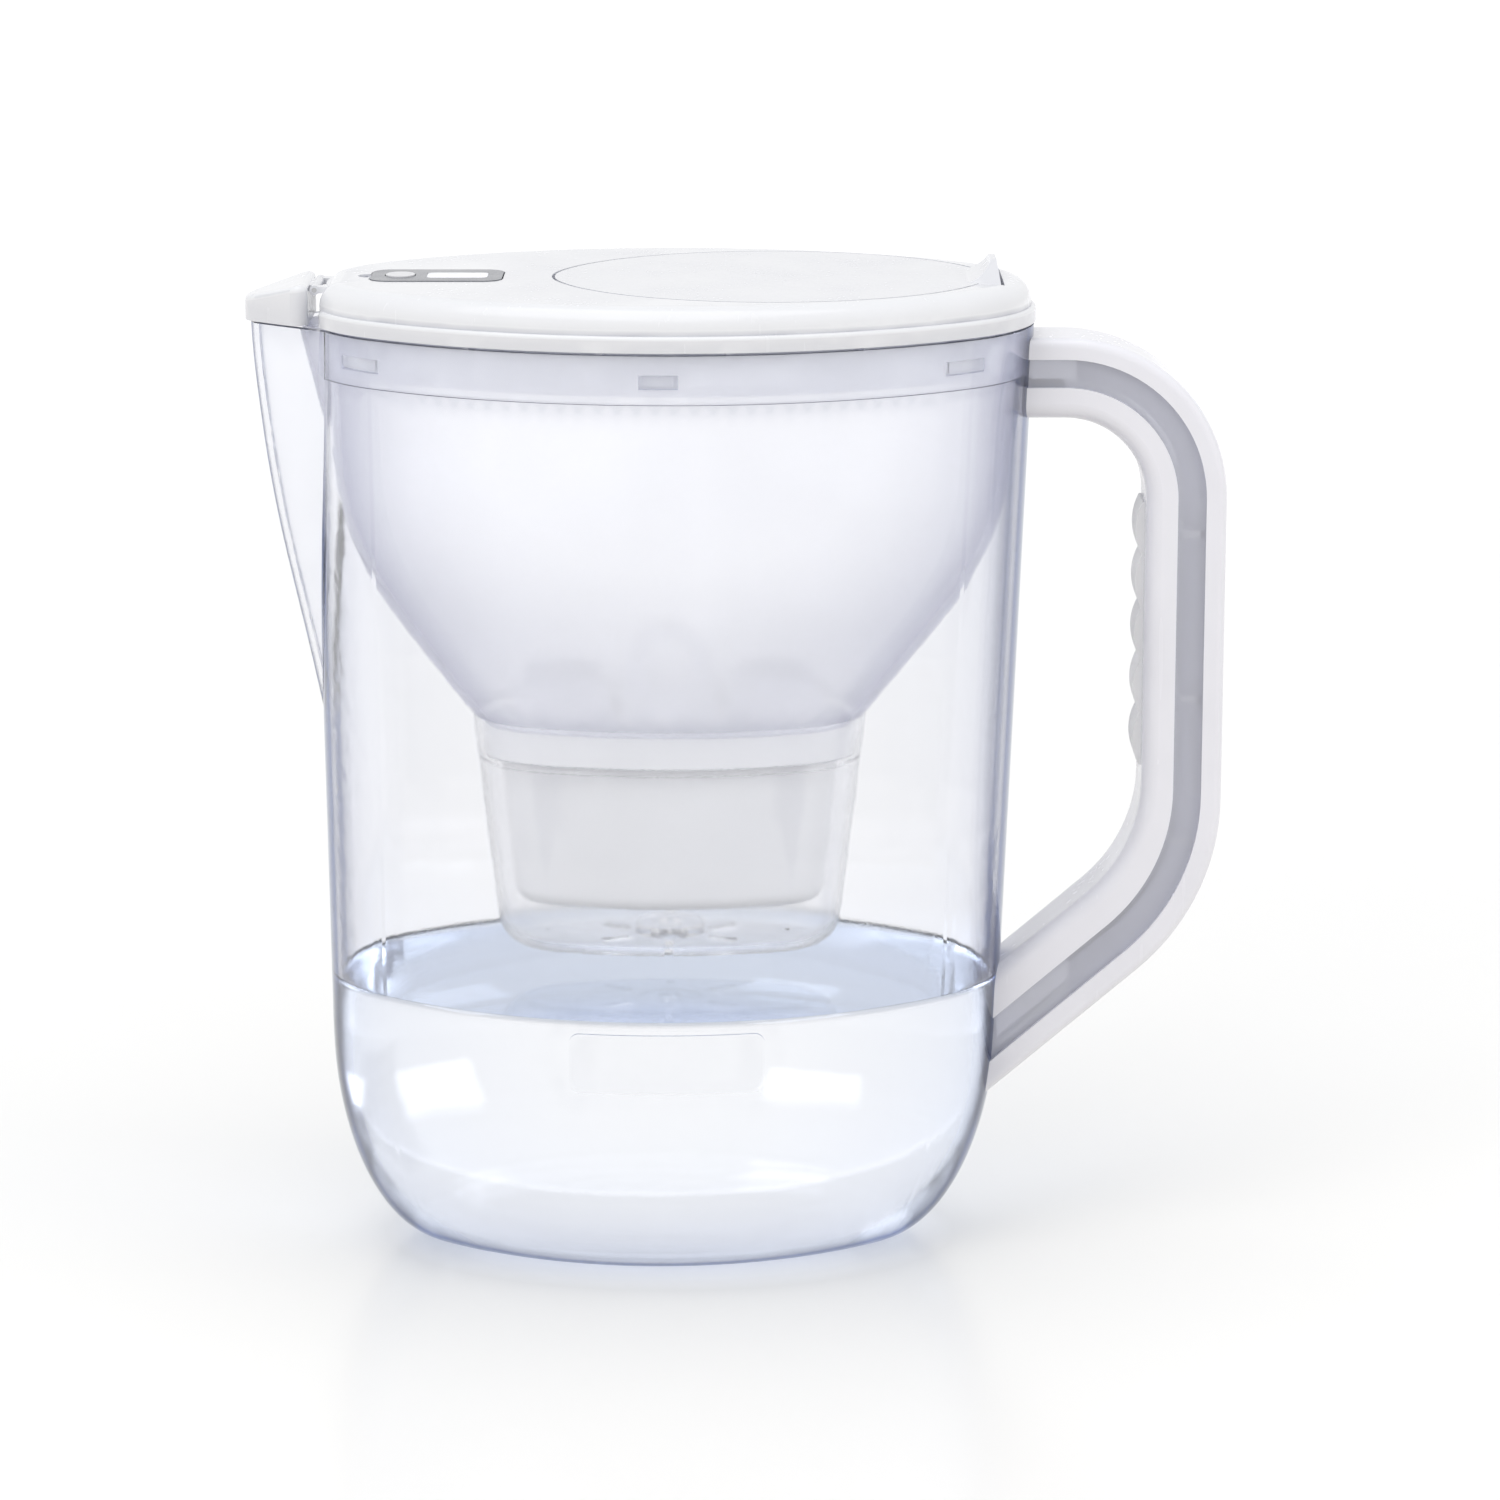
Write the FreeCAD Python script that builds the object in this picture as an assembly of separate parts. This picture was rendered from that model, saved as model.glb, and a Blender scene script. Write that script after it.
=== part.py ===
"""Water filter pitcher: clear jug with a covered handle, lift-out funnel, drop-in cartridge and lid.

Millimetres, +Z up. The origin is the middle of the foot, the spout points to -X and the handle to +X.
Every piece is its own solid and is written to parts/NODE.step.
"""

import FreeCAD
import Part

import math
import os

V = FreeCAD.Vector
Y_AXIS = V(0, 1, 0)
Z_AXIS = V(0, 0, 1)

# Shared clearances
overrun = 6.0            # how far a cutting tool runs past what it cuts
lap = 1.0                # how far pieces of one solid run into one another
running_gap = 0.05       # radial gap of a pin that turns
pin_seat_gap = 0.02      # radial gap of a pin that is held
lift_gap = 0.5           # between pieces that lift out of one another
seat_gap = 0.2           # between faces that rest on one another and come apart
same_place = 0.01        # edges this near one another count as one place

# Jug: a tapered oval with a rounded foot, a step inside the mouth and a beak
jug_height = 275.0
mouth_half_length = 104.5
mouth_half_depth = 71.0
mouth_shift = 1.5        # the mouth's middle, towards the handle
end_draft = 7.5          # by which each end of the oval is drawn in at the floor
side_draft = 6.0         # and each side, before the foot is rounded
foot_shift = -2.4
foot_round_length = 31.0  # the foot is rounded as a quarter of an ellipse: its reach inwards
foot_round_height = 64.0  # and upwards
foot_round_steps = 9      # sections over the rounding
foot_run = 66.0           # straight wall that the rounded foot runs on into
foot_run_steps = 6
jug_wall = 2.8
jug_floor = 4.6
oval_end_share = 0.73    # radius of an oval's ends, as a share of its half depth
collar_height = 14.0     # the stepped-out part of the mouth that holds the funnel
collar_wall = 1.6
panel_length = 56.0      # blank raised panel on the jug's front
panel_height = 17.5
panel_round = 3.0
panel_proud = 0.7
panel_middle_z = 70.5
gate_radius = 2.2        # moulding mark in the middle of the floor
gate_height = 0.6

# Beak: a V in plan whose nose runs down the jug's end
beak_proud = 16.0        # by which the nose reaches out past the mouth's half length, at the mouth
beak_foot_inset = 5.3    # and by which it stays inside it, at the beak's foot
beak_foot_height = 146.0
beak_nose_radius = 9.0
beak_half_angle = 40.0   # degrees, of the V
beak_wall = 2.6
beak_depth = 34.0        # how far the V's sides run back from the nose
# The nose's line: height share from the beak's foot to the mouth, then its reach share
beak_line_shares = ((0.0, 0.0), (0.17, 0.18), (0.31, 0.36), (0.44, 0.535), (0.57, 0.695),
                    (0.71, 0.83), (0.84, 0.925), (1.0, 1.0))

# Funnel: an oval band in the collar, a bowl and the chamber that holds the cartridge
funnel_wall = 2.0
band_wall = 2.2
bowl_gap = 0.6           # between the bowl and the jug's wall
bowl_lap = 3.0           # how far the bowl runs up inside the band
nose_proud = 1.5         # by which the funnel's nose in the beak reaches past the mouth's half length
nose_radius = 19.0
nose_foot_z = 222.0
nose_foot_inset = 11.5   # and by which its foot stays inside it
nose_foot_radius = 15.0
chamber_top_z = 160.0
chamber_half_length = 57.5
chamber_half_depth = 32.0
chamber_foot_z = 90.0
chamber_foot_half_length = 49.5
chamber_foot_half_depth = 26.0
chamber_foot_round = 9.0
chamber_wall = 1.8
chamber_floor = 2.2
chamber_end_share = 0.82
# The bowl's side: height share from the chamber to the band, then its width share
bowl_side_shares = ((0.0, 0.0), (0.17, 0.32), (0.34, 0.62), (0.50, 0.825), (0.68, 0.935), (1.0, 1.0))
window_places = (-86.0, -1.6, 84.0)  # along X, openings in the band that show the lid's tongues
window_length = 11.0
window_height = 4.0
window_drop = 7.4        # from the band's top to a window's middle
window_end_reach = 46.0  # beyond this the windows are in the band's round ends
drain_boss_radius = 10.0
drain_boss_height = 4.0
drain_hole_radius = 3.5
drain_slot_radius = 18.0
drain_slot_length = 9.0
drain_slot_width = 2.4
drain_slot_count = 6

# Cartridge
rim_seat_drop = 11.5     # from the chamber's top down to where the cartridge's rim rests
rim_ledge_width = 3.0
rim_ledge_height = 2.2
rim_height = 9.0
rim_wall = 1.6
cup_depth = 45.0         # from the rim's foot to the cup's floor
cup_inset = 3.6          # from the rim's outside to the cup's outside
cup_taper = 5.2          # by which the cup's foot is smaller all round
cup_wall = 1.5
cup_floor = 1.8
cup_foot_round = 5.0
screen_thickness = 0.8
bed_gap = 0.3
bed_headroom = 9.0
deck_thickness = 1.6     # the cap's plate
deck_inset = 2.4
dome_height = 14.0
dome_length = 31.0
dome_depth = 40.0
dome_offset = 31.0       # from the cartridge's middle to a dome's middle
dome_corner = 12.0
dome_lean = 4.5          # by which a dome's top is smaller all round
dome_round = 5.5
dome_wall = 1.6
vent_count = 4
vent_width = 2.0
vent_pitch = 5.4
vent_foot = 3.0
vent_height = 7.5
pull_ring_z = 15.0       # pull ring's middle, over the deck
pull_ring_radius = 12.0
pull_half_length = 14.5
pull_thickness = 6.0
pull_hole_radius = 7.5
outlet_slot_count = 7
outlet_slot_width = 3.0
outlet_slot_pitch = 8.0
outlet_slot_length = 20.0

# Lid
lid_gap = 0.8            # the dark line between the jug and the lid
lid_height = 12.2
lid_skin = 2.6
lid_wall = 2.2
lid_lip = 0.4            # by which the lip stands out past the jug
lid_lip_height = 4.6
lid_lip_round = 1.2
lid_dome_inset = 1.0
lid_edge_round = 6.5
lid_inner_round = 4.0
lid_end_inset = 5.1      # from the mouth's half length in to the lid's flat end at the beak
lid_end_round = 7.0
skirt_wall = 1.6
skirt_drop = 12.0        # below the jug's mouth
tongue_length = 9.0      # snap tongues on the skirt
tongue_proud = 0.3
tongue_height = 3.0
seat_rib_count = 12
seat_rib_width = 1.8
seat_rib_inset = 2.4

# Fill flap, flush in the lid, on a gooseneck hinge under the lid
flap_start_x = -32.5
flap_end_inset = 12.0    # from the mouth's half length in to the flap's end at the handle
flap_side_inset = 15.5   # and from its half depth in to the flap's side
flap_end_share = 0.66
flap_thickness = 1.7
flap_gap = 0.9
flap_rib_inset = 6.0
flap_rib_width = 1.6
flap_rib_height = 2.0
ledge_width = 3.0
ledge_thickness = 1.6
ledge_lap = 2.5
ledge_start = 0.0        # the ledge runs from here to the tab's end
hinge_back = 10.0        # from the flap's end back to the hinge
hinge_drop = 6.0         # from the lid's top down to the hinge
hinge_pin_radius = 1.2
hinge_boss_radius = 2.6
neck_inner_radius = 11.9
neck_thickness = 2.0
neck_width = 12.0
lug_thickness = 3.0
lug_gap = 0.4
tab_rise = 5.6           # over the lid's top
tab_length = 13.0
tab_crest = 1.8
tab_lean = 0.9
tab_foot_width = 36.0
tab_top_width = 13.0
tab_top_round = 3.4
tab_end_inset = 9.0      # from the mouth's half length in to the tab's end
tab_drop = 6.0           # how far the tab's tongue hangs below the lid's top
tab_tongue_length = 11.0
tab_hollow_share = 0.25  # how far up the tab's face its hollow passes, two thirds along it

# Beak cover, hinged to the lid's flat end
cover_gap = 3.4          # between the cover and the lid
cover_overhang = 1.6
cover_skin = 2.0
cover_tip_drop = 5.4     # by which its top falls towards the nose
cover_corner = 3.0
cover_round = 1.8
cover_pin_radius = 0.7
cover_knuckle_radius = 1.4
cover_knuckle_drop = 2.6 # from the lid's top to the pin
cover_knuckle_width = 14.0
cover_lug_width = 4.5
cover_web = 1.8

# Change indicator in the lid
meter_middle = -66.5
meter_length = 38.6
meter_depth = 26.0
meter_round = 6.0
meter_gap = 0.35
meter_ledge = 1.6        # the flange's width all round
meter_pocket_depth = 1.8
meter_proud = 0.2
meter_case_height = 8.6
meter_case_wall = 1.2
gasket_thickness = 0.5
flange_thickness = 0.6
pry_radius = 3.6         # shallow notch at the meter's end
pry_depth = 0.8
pane_length = 17.5
pane_depth = 11.5
pane_round = 2.0
pane_middle = 5.9
pane_gap = 0.1
pane_flange = 0.8
pane_flange_thickness = 0.6
lcd_thickness = 1.4
button_length = 11.0     # across the lid
button_width = 8.4
button_end_share = 0.86
button_middle = -10.6
button_travel = 0.5
button_gap = 0.3
button_flange = 0.6
button_flange_thickness = 0.5
button_proud = 0.3
button_stem_radius = 1.5
board_thickness = 0.8
board_gap = 0.4
board_drop = 4.2         # from the bezel's underside to the board's top
dome_disc_radius = 3.0
dome_disc_height = 0.5
dome_disc_chamfer = 0.4
cell_middle = 4.0
cell_radius = 6.2
cell_thickness = 2.0
clip_thickness = 0.4
clip_width = 4.0
clip_play = 0.3
post_side = 1.6

# Handle: three layers round one path, between the jug's two roots
handle_top_z = 271.5
handle_reach = 57.3      # from the mouth's half length out to the handle's back
handle_bend_z = 104.0    # where the back and the lower arm would cross
handle_slope = 40.5      # degrees, of the lower arm
handle_upper_radius = 47.0
handle_lower_radius = 68.0
handle_arm_share = 1.17  # the lower arm's thickness over that of the back
handle_root_x = 60.0     # inside the jug, where the layers start before they are trimmed
strap_thickness = 6.0
core_thickness = 8.2
grip_thickness = 9.2
handle_depth = 27.0
core_depth = 24.0
strap_round = 2.6
grip_round = 4.6
core_side_wall = 2.4
core_back_wall = 1.8
core_rib = 2.4
core_rib_places = (214.0, 165.0, 122.0)  # heights of the cross ribs
core_root_gap = 13.5     # the channel stops this far outside the mouth's half length
finger_count = 5
finger_top_z = 223.0
finger_pitch = 15.6
finger_wave = 1.9
finger_base = 0.7
finger_depth = 16.0

# Places that follow from the sizes above
foot_half_length = mouth_half_length - end_draft
foot_half_depth = mouth_half_depth - side_draft
beak_reach = mouth_half_length + beak_proud
beak_foot_reach = mouth_half_length - beak_foot_inset
nose_reach = mouth_half_length + nose_proud
nose_foot_reach = mouth_half_length - nose_foot_inset
lid_end_reach = mouth_half_length - lid_end_inset
flap_end_x = mouth_half_length - flap_end_inset
flap_middle = (flap_start_x + flap_end_x) / 2
flap_half_length = (flap_end_x - flap_start_x) / 2
flap_half_depth = mouth_half_depth - flap_side_inset
tab_end_x = mouth_half_length - tab_end_inset
handle_back_x = mouth_half_length + handle_reach
core_root_x = mouth_half_length + core_root_gap
rim_seat_z = chamber_top_z - rim_seat_drop
band_foot_z = jug_height - collar_height
band_top_z = jug_height - seat_gap
band_outer_inset = collar_wall + lift_gap
band_inner_inset = band_outer_inset + band_wall
skirt_outer_inset = band_inner_inset + lift_gap
skirt_inner_inset = skirt_outer_inset + skirt_wall
lid_rim_z = jug_height + lid_gap
lid_top_z = lid_rim_z + lid_height
hinge_x = flap_start_x - hinge_back
hinge_z = lid_top_z - hinge_drop
cover_end_x = -lid_end_reach - cover_gap
cover_pin_x = -lid_end_reach - cover_gap / 2
cover_pin_z = lid_top_z - cover_knuckle_drop
cup_floor_z = rim_seat_z - cup_depth
rim_foot_z = rim_seat_z + seat_gap
rim_top_z = rim_foot_z + rim_height
deck_top_z = rim_top_z + deck_thickness
meter_floor_z = lid_top_z - meter_pocket_depth
flange_z = meter_floor_z + gasket_thickness
bezel_z = flange_z + flange_thickness
bezel_top_z = lid_top_z + meter_proud
case_length = meter_length - 2 * (meter_gap + meter_ledge)
case_depth = meter_depth - 2 * (meter_gap + meter_ledge)
case_round = meter_round - meter_gap - meter_ledge
case_foot_z = bezel_z - meter_case_height
board_top_z = bezel_z - board_drop
board_foot_z = board_top_z - board_thickness
handle_face = strap_thickness + core_thickness + grip_thickness
grip_face_x = handle_back_x - handle_face


def mix(low, high, share):
    """Value a share of the way from low to high."""
    return low + (high - low) * share


def box(x0, x1, y0, y1, z0, z1):
    """Box between two corners."""
    return Part.makeBox(x1 - x0, y1 - y0, z1 - z0, V(x0, y0, z0))


def fuse(first, *others):
    """One solid of several that meet."""
    return first.fuse(list(others)).removeSplitter()


def loft(wires, ruled=True):
    """Closed solid through wires."""
    return Part.makeLoft(wires, True, ruled)


def prism(wire, height):
    """Solid of a flat wire pulled up by height."""
    return Part.Face(wire).extrude(V(0, 0, height))


def plate_xz(wire, y0, y1):
    """Solid of a wire in the plane Y=0, pulled from y0 to y1."""
    face = Part.Face(wire)
    face.translate(V(0, y0, 0))
    return face.extrude(V(0, y1 - y0, 0))


def cylinder_y(x, z, radius, y0, y1):
    """Cylinder along Y."""
    return Part.makeCylinder(radius, y1 - y0, V(x, y0, z), Y_AXIS)


def edges_at(shape, z):
    """Edges that lie whole at height z."""
    return [edge for edge in shape.Edges
            if abs(edge.BoundBox.ZMin - z) < same_place and abs(edge.BoundBox.ZMax - z) < same_place]


def upright_edges(shape, x):
    """Edges along Z at one X."""
    return [edge for edge in shape.Edges
            if abs(edge.BoundBox.XMin - x) < same_place and abs(edge.BoundBox.XMax - x) < same_place
            and edge.BoundBox.YLength < same_place and edge.BoundBox.ZLength > same_place]


def oval(middle, half_length, half_depth, end_radius, z):
    """Wire of four tangent arcs round (middle, 0) at height z."""
    centre = half_length - end_radius
    side_radius = (centre ** 2 + half_depth ** 2 - end_radius ** 2) / (2 * (half_depth - end_radius))
    reach = side_radius - end_radius
    px = centre + end_radius * centre / reach
    py = end_radius * (side_radius - half_depth) / reach

    def at(x, y):
        return V(middle + x, y, z)

    arcs = (
        (at(px, -py), at(half_length, 0), at(px, py)),
        (at(px, py), at(0, half_depth), at(-px, py)),
        (at(-px, py), at(-half_length, 0), at(-px, -py)),
        (at(-px, -py), at(0, -half_depth), at(px, -py)),
    )
    return Part.Wire([Part.Arc(*points).toShape() for points in arcs])


def rounded_wire(points, radii, closed=False):
    """Wire through points whose corners are tangent arcs of the given radii (0 keeps a corner)."""
    count = len(points)
    trims = []
    for i, point in enumerate(points):
        if radii[i] <= 0 or (not closed and i in (0, count - 1)):
            trims.append((point, None, point))
            continue
        to_last = (points[i - 1] - point).normalize()
        to_next = (points[(i + 1) % count] - point).normalize()
        half_turn = to_last.getAngle(to_next) / 2
        back = radii[i] / math.tan(half_turn)
        bisector = (to_last + to_next).normalize()
        centre = point + bisector * (radii[i] / math.sin(half_turn))
        trims.append((point + to_last * back, centre - bisector * radii[i], point + to_next * back))
    edges = []
    for i, (start, middle, end) in enumerate(trims):
        if middle is not None:
            edges.append(Part.Arc(start, middle, end).toShape())
        if closed or i < count - 1:
            edges.append(Part.LineSegment(end, trims[(i + 1) % count][0]).toShape())
    return Part.Wire(edges)


def rounded_rectangle(x, y, length, depth, radius, z):
    """Wire of a rectangle with round corners, centred on (x, y)."""
    corners = ((-1, -1), (1, -1), (1, 1), (-1, 1))
    points = [V(x + sx * length / 2, y + sy * depth / 2, z) for sx, sy in corners]
    return rounded_wire(points, [radius] * len(points), closed=True)


def jug_oval(z, inset=0.0):
    """Section of the jug's outside at height z, moved in by inset."""
    share = z / jug_height
    half_depth = mix(foot_half_depth, mouth_half_depth, share)
    return oval(mix(foot_shift, mouth_shift, share),
                mix(foot_half_length, mouth_half_length, share) - inset,
                half_depth - inset, oval_end_share * half_depth - inset, z)


def jug_solid(inset, z0, z1):
    """Solid that follows the jug's sides between two heights."""
    return loft([jug_oval(z0, inset), jug_oval(z1, inset)])


def foot_sections(inset, floor):
    """Sections of the rounded foot, from the floor up, and of the straight wall over it."""
    wires = []
    for i in range(foot_round_steps + 1):
        turn = math.pi / 2 * i / foot_round_steps
        z = mix(foot_round_height, floor, math.cos(turn))
        wires.append(jug_oval(z, mix(foot_round_length, inset, math.sin(turn))))
    run = [foot_run * (i + 1) / foot_run_steps for i in range(foot_run_steps)]
    return wires + [jug_oval(foot_round_height + rise, inset) for rise in run]


def jug_blank(inset, floor):
    """The jug's tapered oval on its rounded foot, moved in by inset and up by floor."""
    foot = loft(foot_sections(inset, floor), ruled=False)
    return fuse(foot, jug_solid(inset, foot_round_height + foot_run, jug_height))


def beak_section(reach, z, inset, back_x):
    """Closed V with a round nose at height z, moved in by inset and ending at back_x."""
    radius = beak_nose_radius - inset
    angle = math.radians(beak_half_angle)
    middle = beak_nose_radius - reach
    near_x = middle - radius * math.sin(angle)
    near_y = radius * math.cos(angle)
    back_y = near_y + (back_x - near_x) * math.tan(angle)
    nose = Part.Arc(V(near_x, -near_y, z), V(middle - radius, 0, z), V(near_x, near_y, z)).toShape()
    corners = (V(near_x, near_y, z), V(back_x, back_y, z), V(back_x, -back_y, z), V(near_x, -near_y, z))
    sides = [Part.LineSegment(a, b).toShape() for a, b in zip(corners, corners[1:])]
    return Part.Wire([nose] + sides)


def beak(inset):
    """The beak's solid, whose nose follows its line from the foot up to the mouth."""
    wires = []
    for height_share, reach_share in beak_line_shares:
        reach = mix(beak_foot_reach, beak_reach, reach_share)
        z = mix(beak_foot_height, jug_height, height_share)
        wires.append(beak_section(reach, z, inset, beak_depth - reach))
    return loft(wires, ruled=False)


def front_panel():
    """Blank raised panel that follows the jug's front."""
    low = panel_middle_z - panel_height / 2
    high = panel_middle_z + panel_height / 2
    wire = rounded_rectangle(0, 0, panel_length, panel_height, panel_round, 0)
    wire.rotate(V(0, 0, 0), V(1, 0, 0), 90)
    wire.translate(V(0, 0, panel_middle_z))
    slab = plate_xz(wire, -mouth_half_depth - overrun, -foot_half_depth / 2)
    return jug_solid(-panel_proud, low, high).cut(jug_solid(lap, low, high)).common(slab)


def make_jug():
    """Clear jug with its beak, the step in its mouth and a blank panel."""
    outside = fuse(jug_blank(0.0, 0.0), beak(0.0))
    cavity = fuse(jug_blank(jug_wall, jug_floor), beak(beak_wall))
    collar = jug_solid(collar_wall, band_foot_z, jug_height)
    gate = Part.makeCylinder(gate_radius, gate_height + lap, V(0, 0, jug_floor - lap))
    return fuse(outside.cut(cavity).cut(collar), front_panel(), gate)


def bowl_oval(height_share, width_share, inset):
    """Section of the bowl between the chamber's mouth and the band."""
    top_share = (band_foot_z + bowl_lap) / jug_height
    wall_inset = jug_wall + bowl_gap
    top_length = mix(foot_half_length, mouth_half_length, top_share)
    top_depth = mix(foot_half_depth, mouth_half_depth, top_share)
    top_end = oval_end_share * top_depth
    middle = mix(0, mix(foot_shift, mouth_shift, top_share), width_share)
    half_length = mix(chamber_half_length, top_length - wall_inset, width_share)
    half_depth = mix(chamber_half_depth, top_depth - wall_inset, width_share)
    end_radius = mix(chamber_end_share * chamber_half_depth, top_end - wall_inset, width_share)
    z = mix(chamber_top_z, band_foot_z + bowl_lap, height_share)
    return oval(middle, half_length - inset, half_depth - inset, end_radius - inset, z)


def bowl(inset):
    """The bowl's solid, moved in by inset."""
    return loft([bowl_oval(height, width, inset) for height, width in bowl_side_shares], ruled=False)


def chamber_oval(z, inset):
    """Section of the chamber's outside at height z, moved in by inset."""
    share = (z - chamber_foot_z) / (chamber_top_z - chamber_foot_z)
    half_depth = mix(chamber_foot_half_depth, chamber_half_depth, share)
    return oval(0, mix(chamber_foot_half_length, chamber_half_length, share) - inset, half_depth - inset,
                chamber_end_share * half_depth - inset, z)


def chamber(inset, floor):
    """The chamber's tapered solid with a rounded foot."""
    foot_z = chamber_foot_z + floor
    solid = loft([chamber_oval(foot_z, inset), chamber_oval(chamber_top_z, inset)])
    return solid.makeFillet(chamber_foot_round - inset, edges_at(solid, foot_z))


def funnel_nose(inset):
    """The funnel's bulge into the beak, a leaning cone."""
    top_middle = V(nose_radius - nose_reach, 0, band_top_z)
    foot_middle = V(nose_foot_radius - nose_foot_reach, 0, nose_foot_z)
    top = Part.makeCircle(nose_radius - inset, top_middle, Z_AXIS)
    foot = Part.makeCircle(nose_foot_radius - inset, foot_middle, Z_AXIS)
    return loft([Part.Wire(foot), Part.Wire(top)])


def band_windows(length, height):
    """Boxes through the band's front and back where the lid's tongues show."""
    low_z = band_top_z - window_drop - height / 2
    boxes = []
    for x in window_places:
        inner = 0 if abs(x) > window_end_reach else mouth_half_depth / 2
        for y0, y1 in ((-mouth_half_depth, -inner), (inner, mouth_half_depth)):
            boxes.append(box(x - length / 2, x + length / 2, y0, y1, low_z, low_z + height))
    return boxes


def around(shape, count, first=0.0):
    """Copies of a shape turned round Z."""
    copies = []
    for i in range(count):
        copy = shape.copy()
        copy.rotate(V(0, 0, 0), Z_AXIS, first + 360.0 * i / count)
        copies.append(copy)
    return copies


def make_funnel():
    """Milky hopper: band, bowl and the nose in the beak."""
    band = jug_solid(band_outer_inset, band_foot_z + seat_gap, band_top_z)
    band_hollow = jug_solid(band_inner_inset, band_foot_z, band_top_z)
    outside = fuse(band, bowl(0.0), funnel_nose(0.0))
    inside = fuse(band_hollow, bowl(funnel_wall), funnel_nose(funnel_wall))
    return outside.cut(inside).cut(band_windows(window_length, window_height))


def make_chamber():
    """Clearer chamber welded under the funnel, with the cartridge's ledge and the drain."""
    cup = chamber(0.0, 0.0).cut(chamber(chamber_wall, chamber_floor))
    ledge_foot_z = rim_seat_z - rim_ledge_height
    ledge = loft([chamber_oval(ledge_foot_z, chamber_wall / 2), chamber_oval(rim_seat_z, chamber_wall / 2)])
    ledge_inset = chamber_wall + rim_ledge_width
    ledge = ledge.cut(loft([chamber_oval(ledge_foot_z, ledge_inset), chamber_oval(rim_seat_z, ledge_inset)]))
    boss = Part.makeCylinder(drain_boss_radius, chamber_floor + drain_boss_height, V(0, 0, chamber_foot_z))
    tall = chamber_floor + drain_boss_height + 2 * overrun
    hole = Part.makeCylinder(drain_hole_radius, tall, V(0, 0, chamber_foot_z - overrun))
    slot = box(drain_slot_radius - drain_slot_length / 2, drain_slot_radius + drain_slot_length / 2,
               -drain_slot_width / 2, drain_slot_width / 2,
               chamber_foot_z - overrun, chamber_foot_z + overrun)
    turn = 180.0 / drain_slot_count
    return fuse(cup, ledge, boss).cut([hole] + around(slot, drain_slot_count, turn))


def rim_oval(z, inset):
    """Section of the cartridge's rim, upright, moved in by inset."""
    share = (rim_seat_z - chamber_foot_z) / (chamber_top_z - chamber_foot_z)
    half_depth = mix(chamber_foot_half_depth, chamber_half_depth, share)
    total = chamber_wall + lift_gap + inset
    return oval(0, mix(chamber_foot_half_length, chamber_half_length, share) - total, half_depth - total,
                chamber_end_share * half_depth - total, z)


def cup_solid(inset, z0, z1):
    """Solid that follows the cartridge cup's tapered side between two heights."""
    def inset_at(z):
        return inset + cup_inset + cup_taper * (rim_top_z - z) / (rim_top_z - cup_floor_z)
    return loft([rim_oval(z0, inset_at(z0)), rim_oval(z1, inset_at(z1))])


def make_cup():
    """Cartridge cup with its turned-down rim and a slotted floor."""
    outside = cup_solid(0.0, cup_floor_z, rim_top_z)
    outside = outside.makeFillet(cup_foot_round, edges_at(outside, cup_floor_z))
    inside = cup_solid(cup_wall, cup_floor_z + cup_floor, rim_top_z)
    inside = inside.makeFillet(cup_foot_round - cup_wall, edges_at(inside, cup_floor_z + cup_floor))
    rim = prism(rim_oval(rim_foot_z, 0.0), rim_height)
    hollow = prism(rim_oval(rim_foot_z, rim_wall), rim_height - deck_thickness)
    cup = fuse(rim.cut(hollow), outside).cut(inside)
    slots = []
    for i in range(outlet_slot_count):
        x = (i - (outlet_slot_count - 1) / 2) * outlet_slot_pitch
        slots.append(box(x - outlet_slot_width / 2, x + outlet_slot_width / 2, -outlet_slot_length / 2,
                         outlet_slot_length / 2, cup_floor_z - overrun, cup_floor_z + overrun))
    return cup.cut(slots)


def dome(side, inset):
    """One of the cap's two domes, or the hollow in it."""
    x = side * dome_offset
    foot = rounded_rectangle(x, 0, dome_length - 2 * inset, dome_depth - 2 * inset, dome_corner - inset,
                             rim_top_z)
    shrink = 2 * (inset + dome_lean)
    top_z = deck_top_z + dome_height - inset
    top = rounded_rectangle(x, 0, dome_length - shrink, dome_depth - shrink, dome_corner - inset - dome_lean,
                            top_z)
    solid = loft([foot, top])
    return solid.makeFillet(dome_round - inset, edges_at(solid, top_z))


def pull_ring():
    """Arch with a finger hole between the domes."""
    middle_z = deck_top_z + pull_ring_z
    ring = cylinder_y(0, middle_z, pull_ring_radius, -pull_thickness / 2, pull_thickness / 2)
    foot_z = deck_top_z - deck_thickness / 2
    corners = ((-pull_half_length, foot_z), (pull_half_length, foot_z),
               (pull_ring_radius, middle_z), (-pull_ring_radius, middle_z))
    foot = Part.makePolygon([V(x, 0, z) for x, z in corners + corners[:1]])
    arch = fuse(ring, plate_xz(foot, -pull_thickness / 2, pull_thickness / 2))
    hole = cylinder_y(0, middle_z, pull_hole_radius, -overrun, overrun)
    return arch.cut(hole)


def make_cap():
    """Cartridge cap: deck, two vented domes and the pull ring."""
    deck = prism(rim_oval(rim_top_z, deck_inset), deck_thickness)
    cap = fuse(deck, dome(-1, 0.0), dome(1, 0.0))
    cap = cap.cut([dome(-1, dome_wall), dome(1, dome_wall)])
    vents = []
    for side in (-1, 1):
        wall_x = side * (dome_offset + dome_length / 2)
        x0, x1 = sorted((wall_x + side * overrun, wall_x - side * (dome_lean + dome_wall)))
        for i in range(vent_count):
            y = (i - (vent_count - 1) / 2) * vent_pitch
            vents.append(box(x0, x1, y - vent_width / 2, y + vent_width / 2,
                             deck_top_z + vent_foot, deck_top_z + vent_foot + vent_height))
    return fuse(cap.cut(vents), pull_ring())


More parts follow.
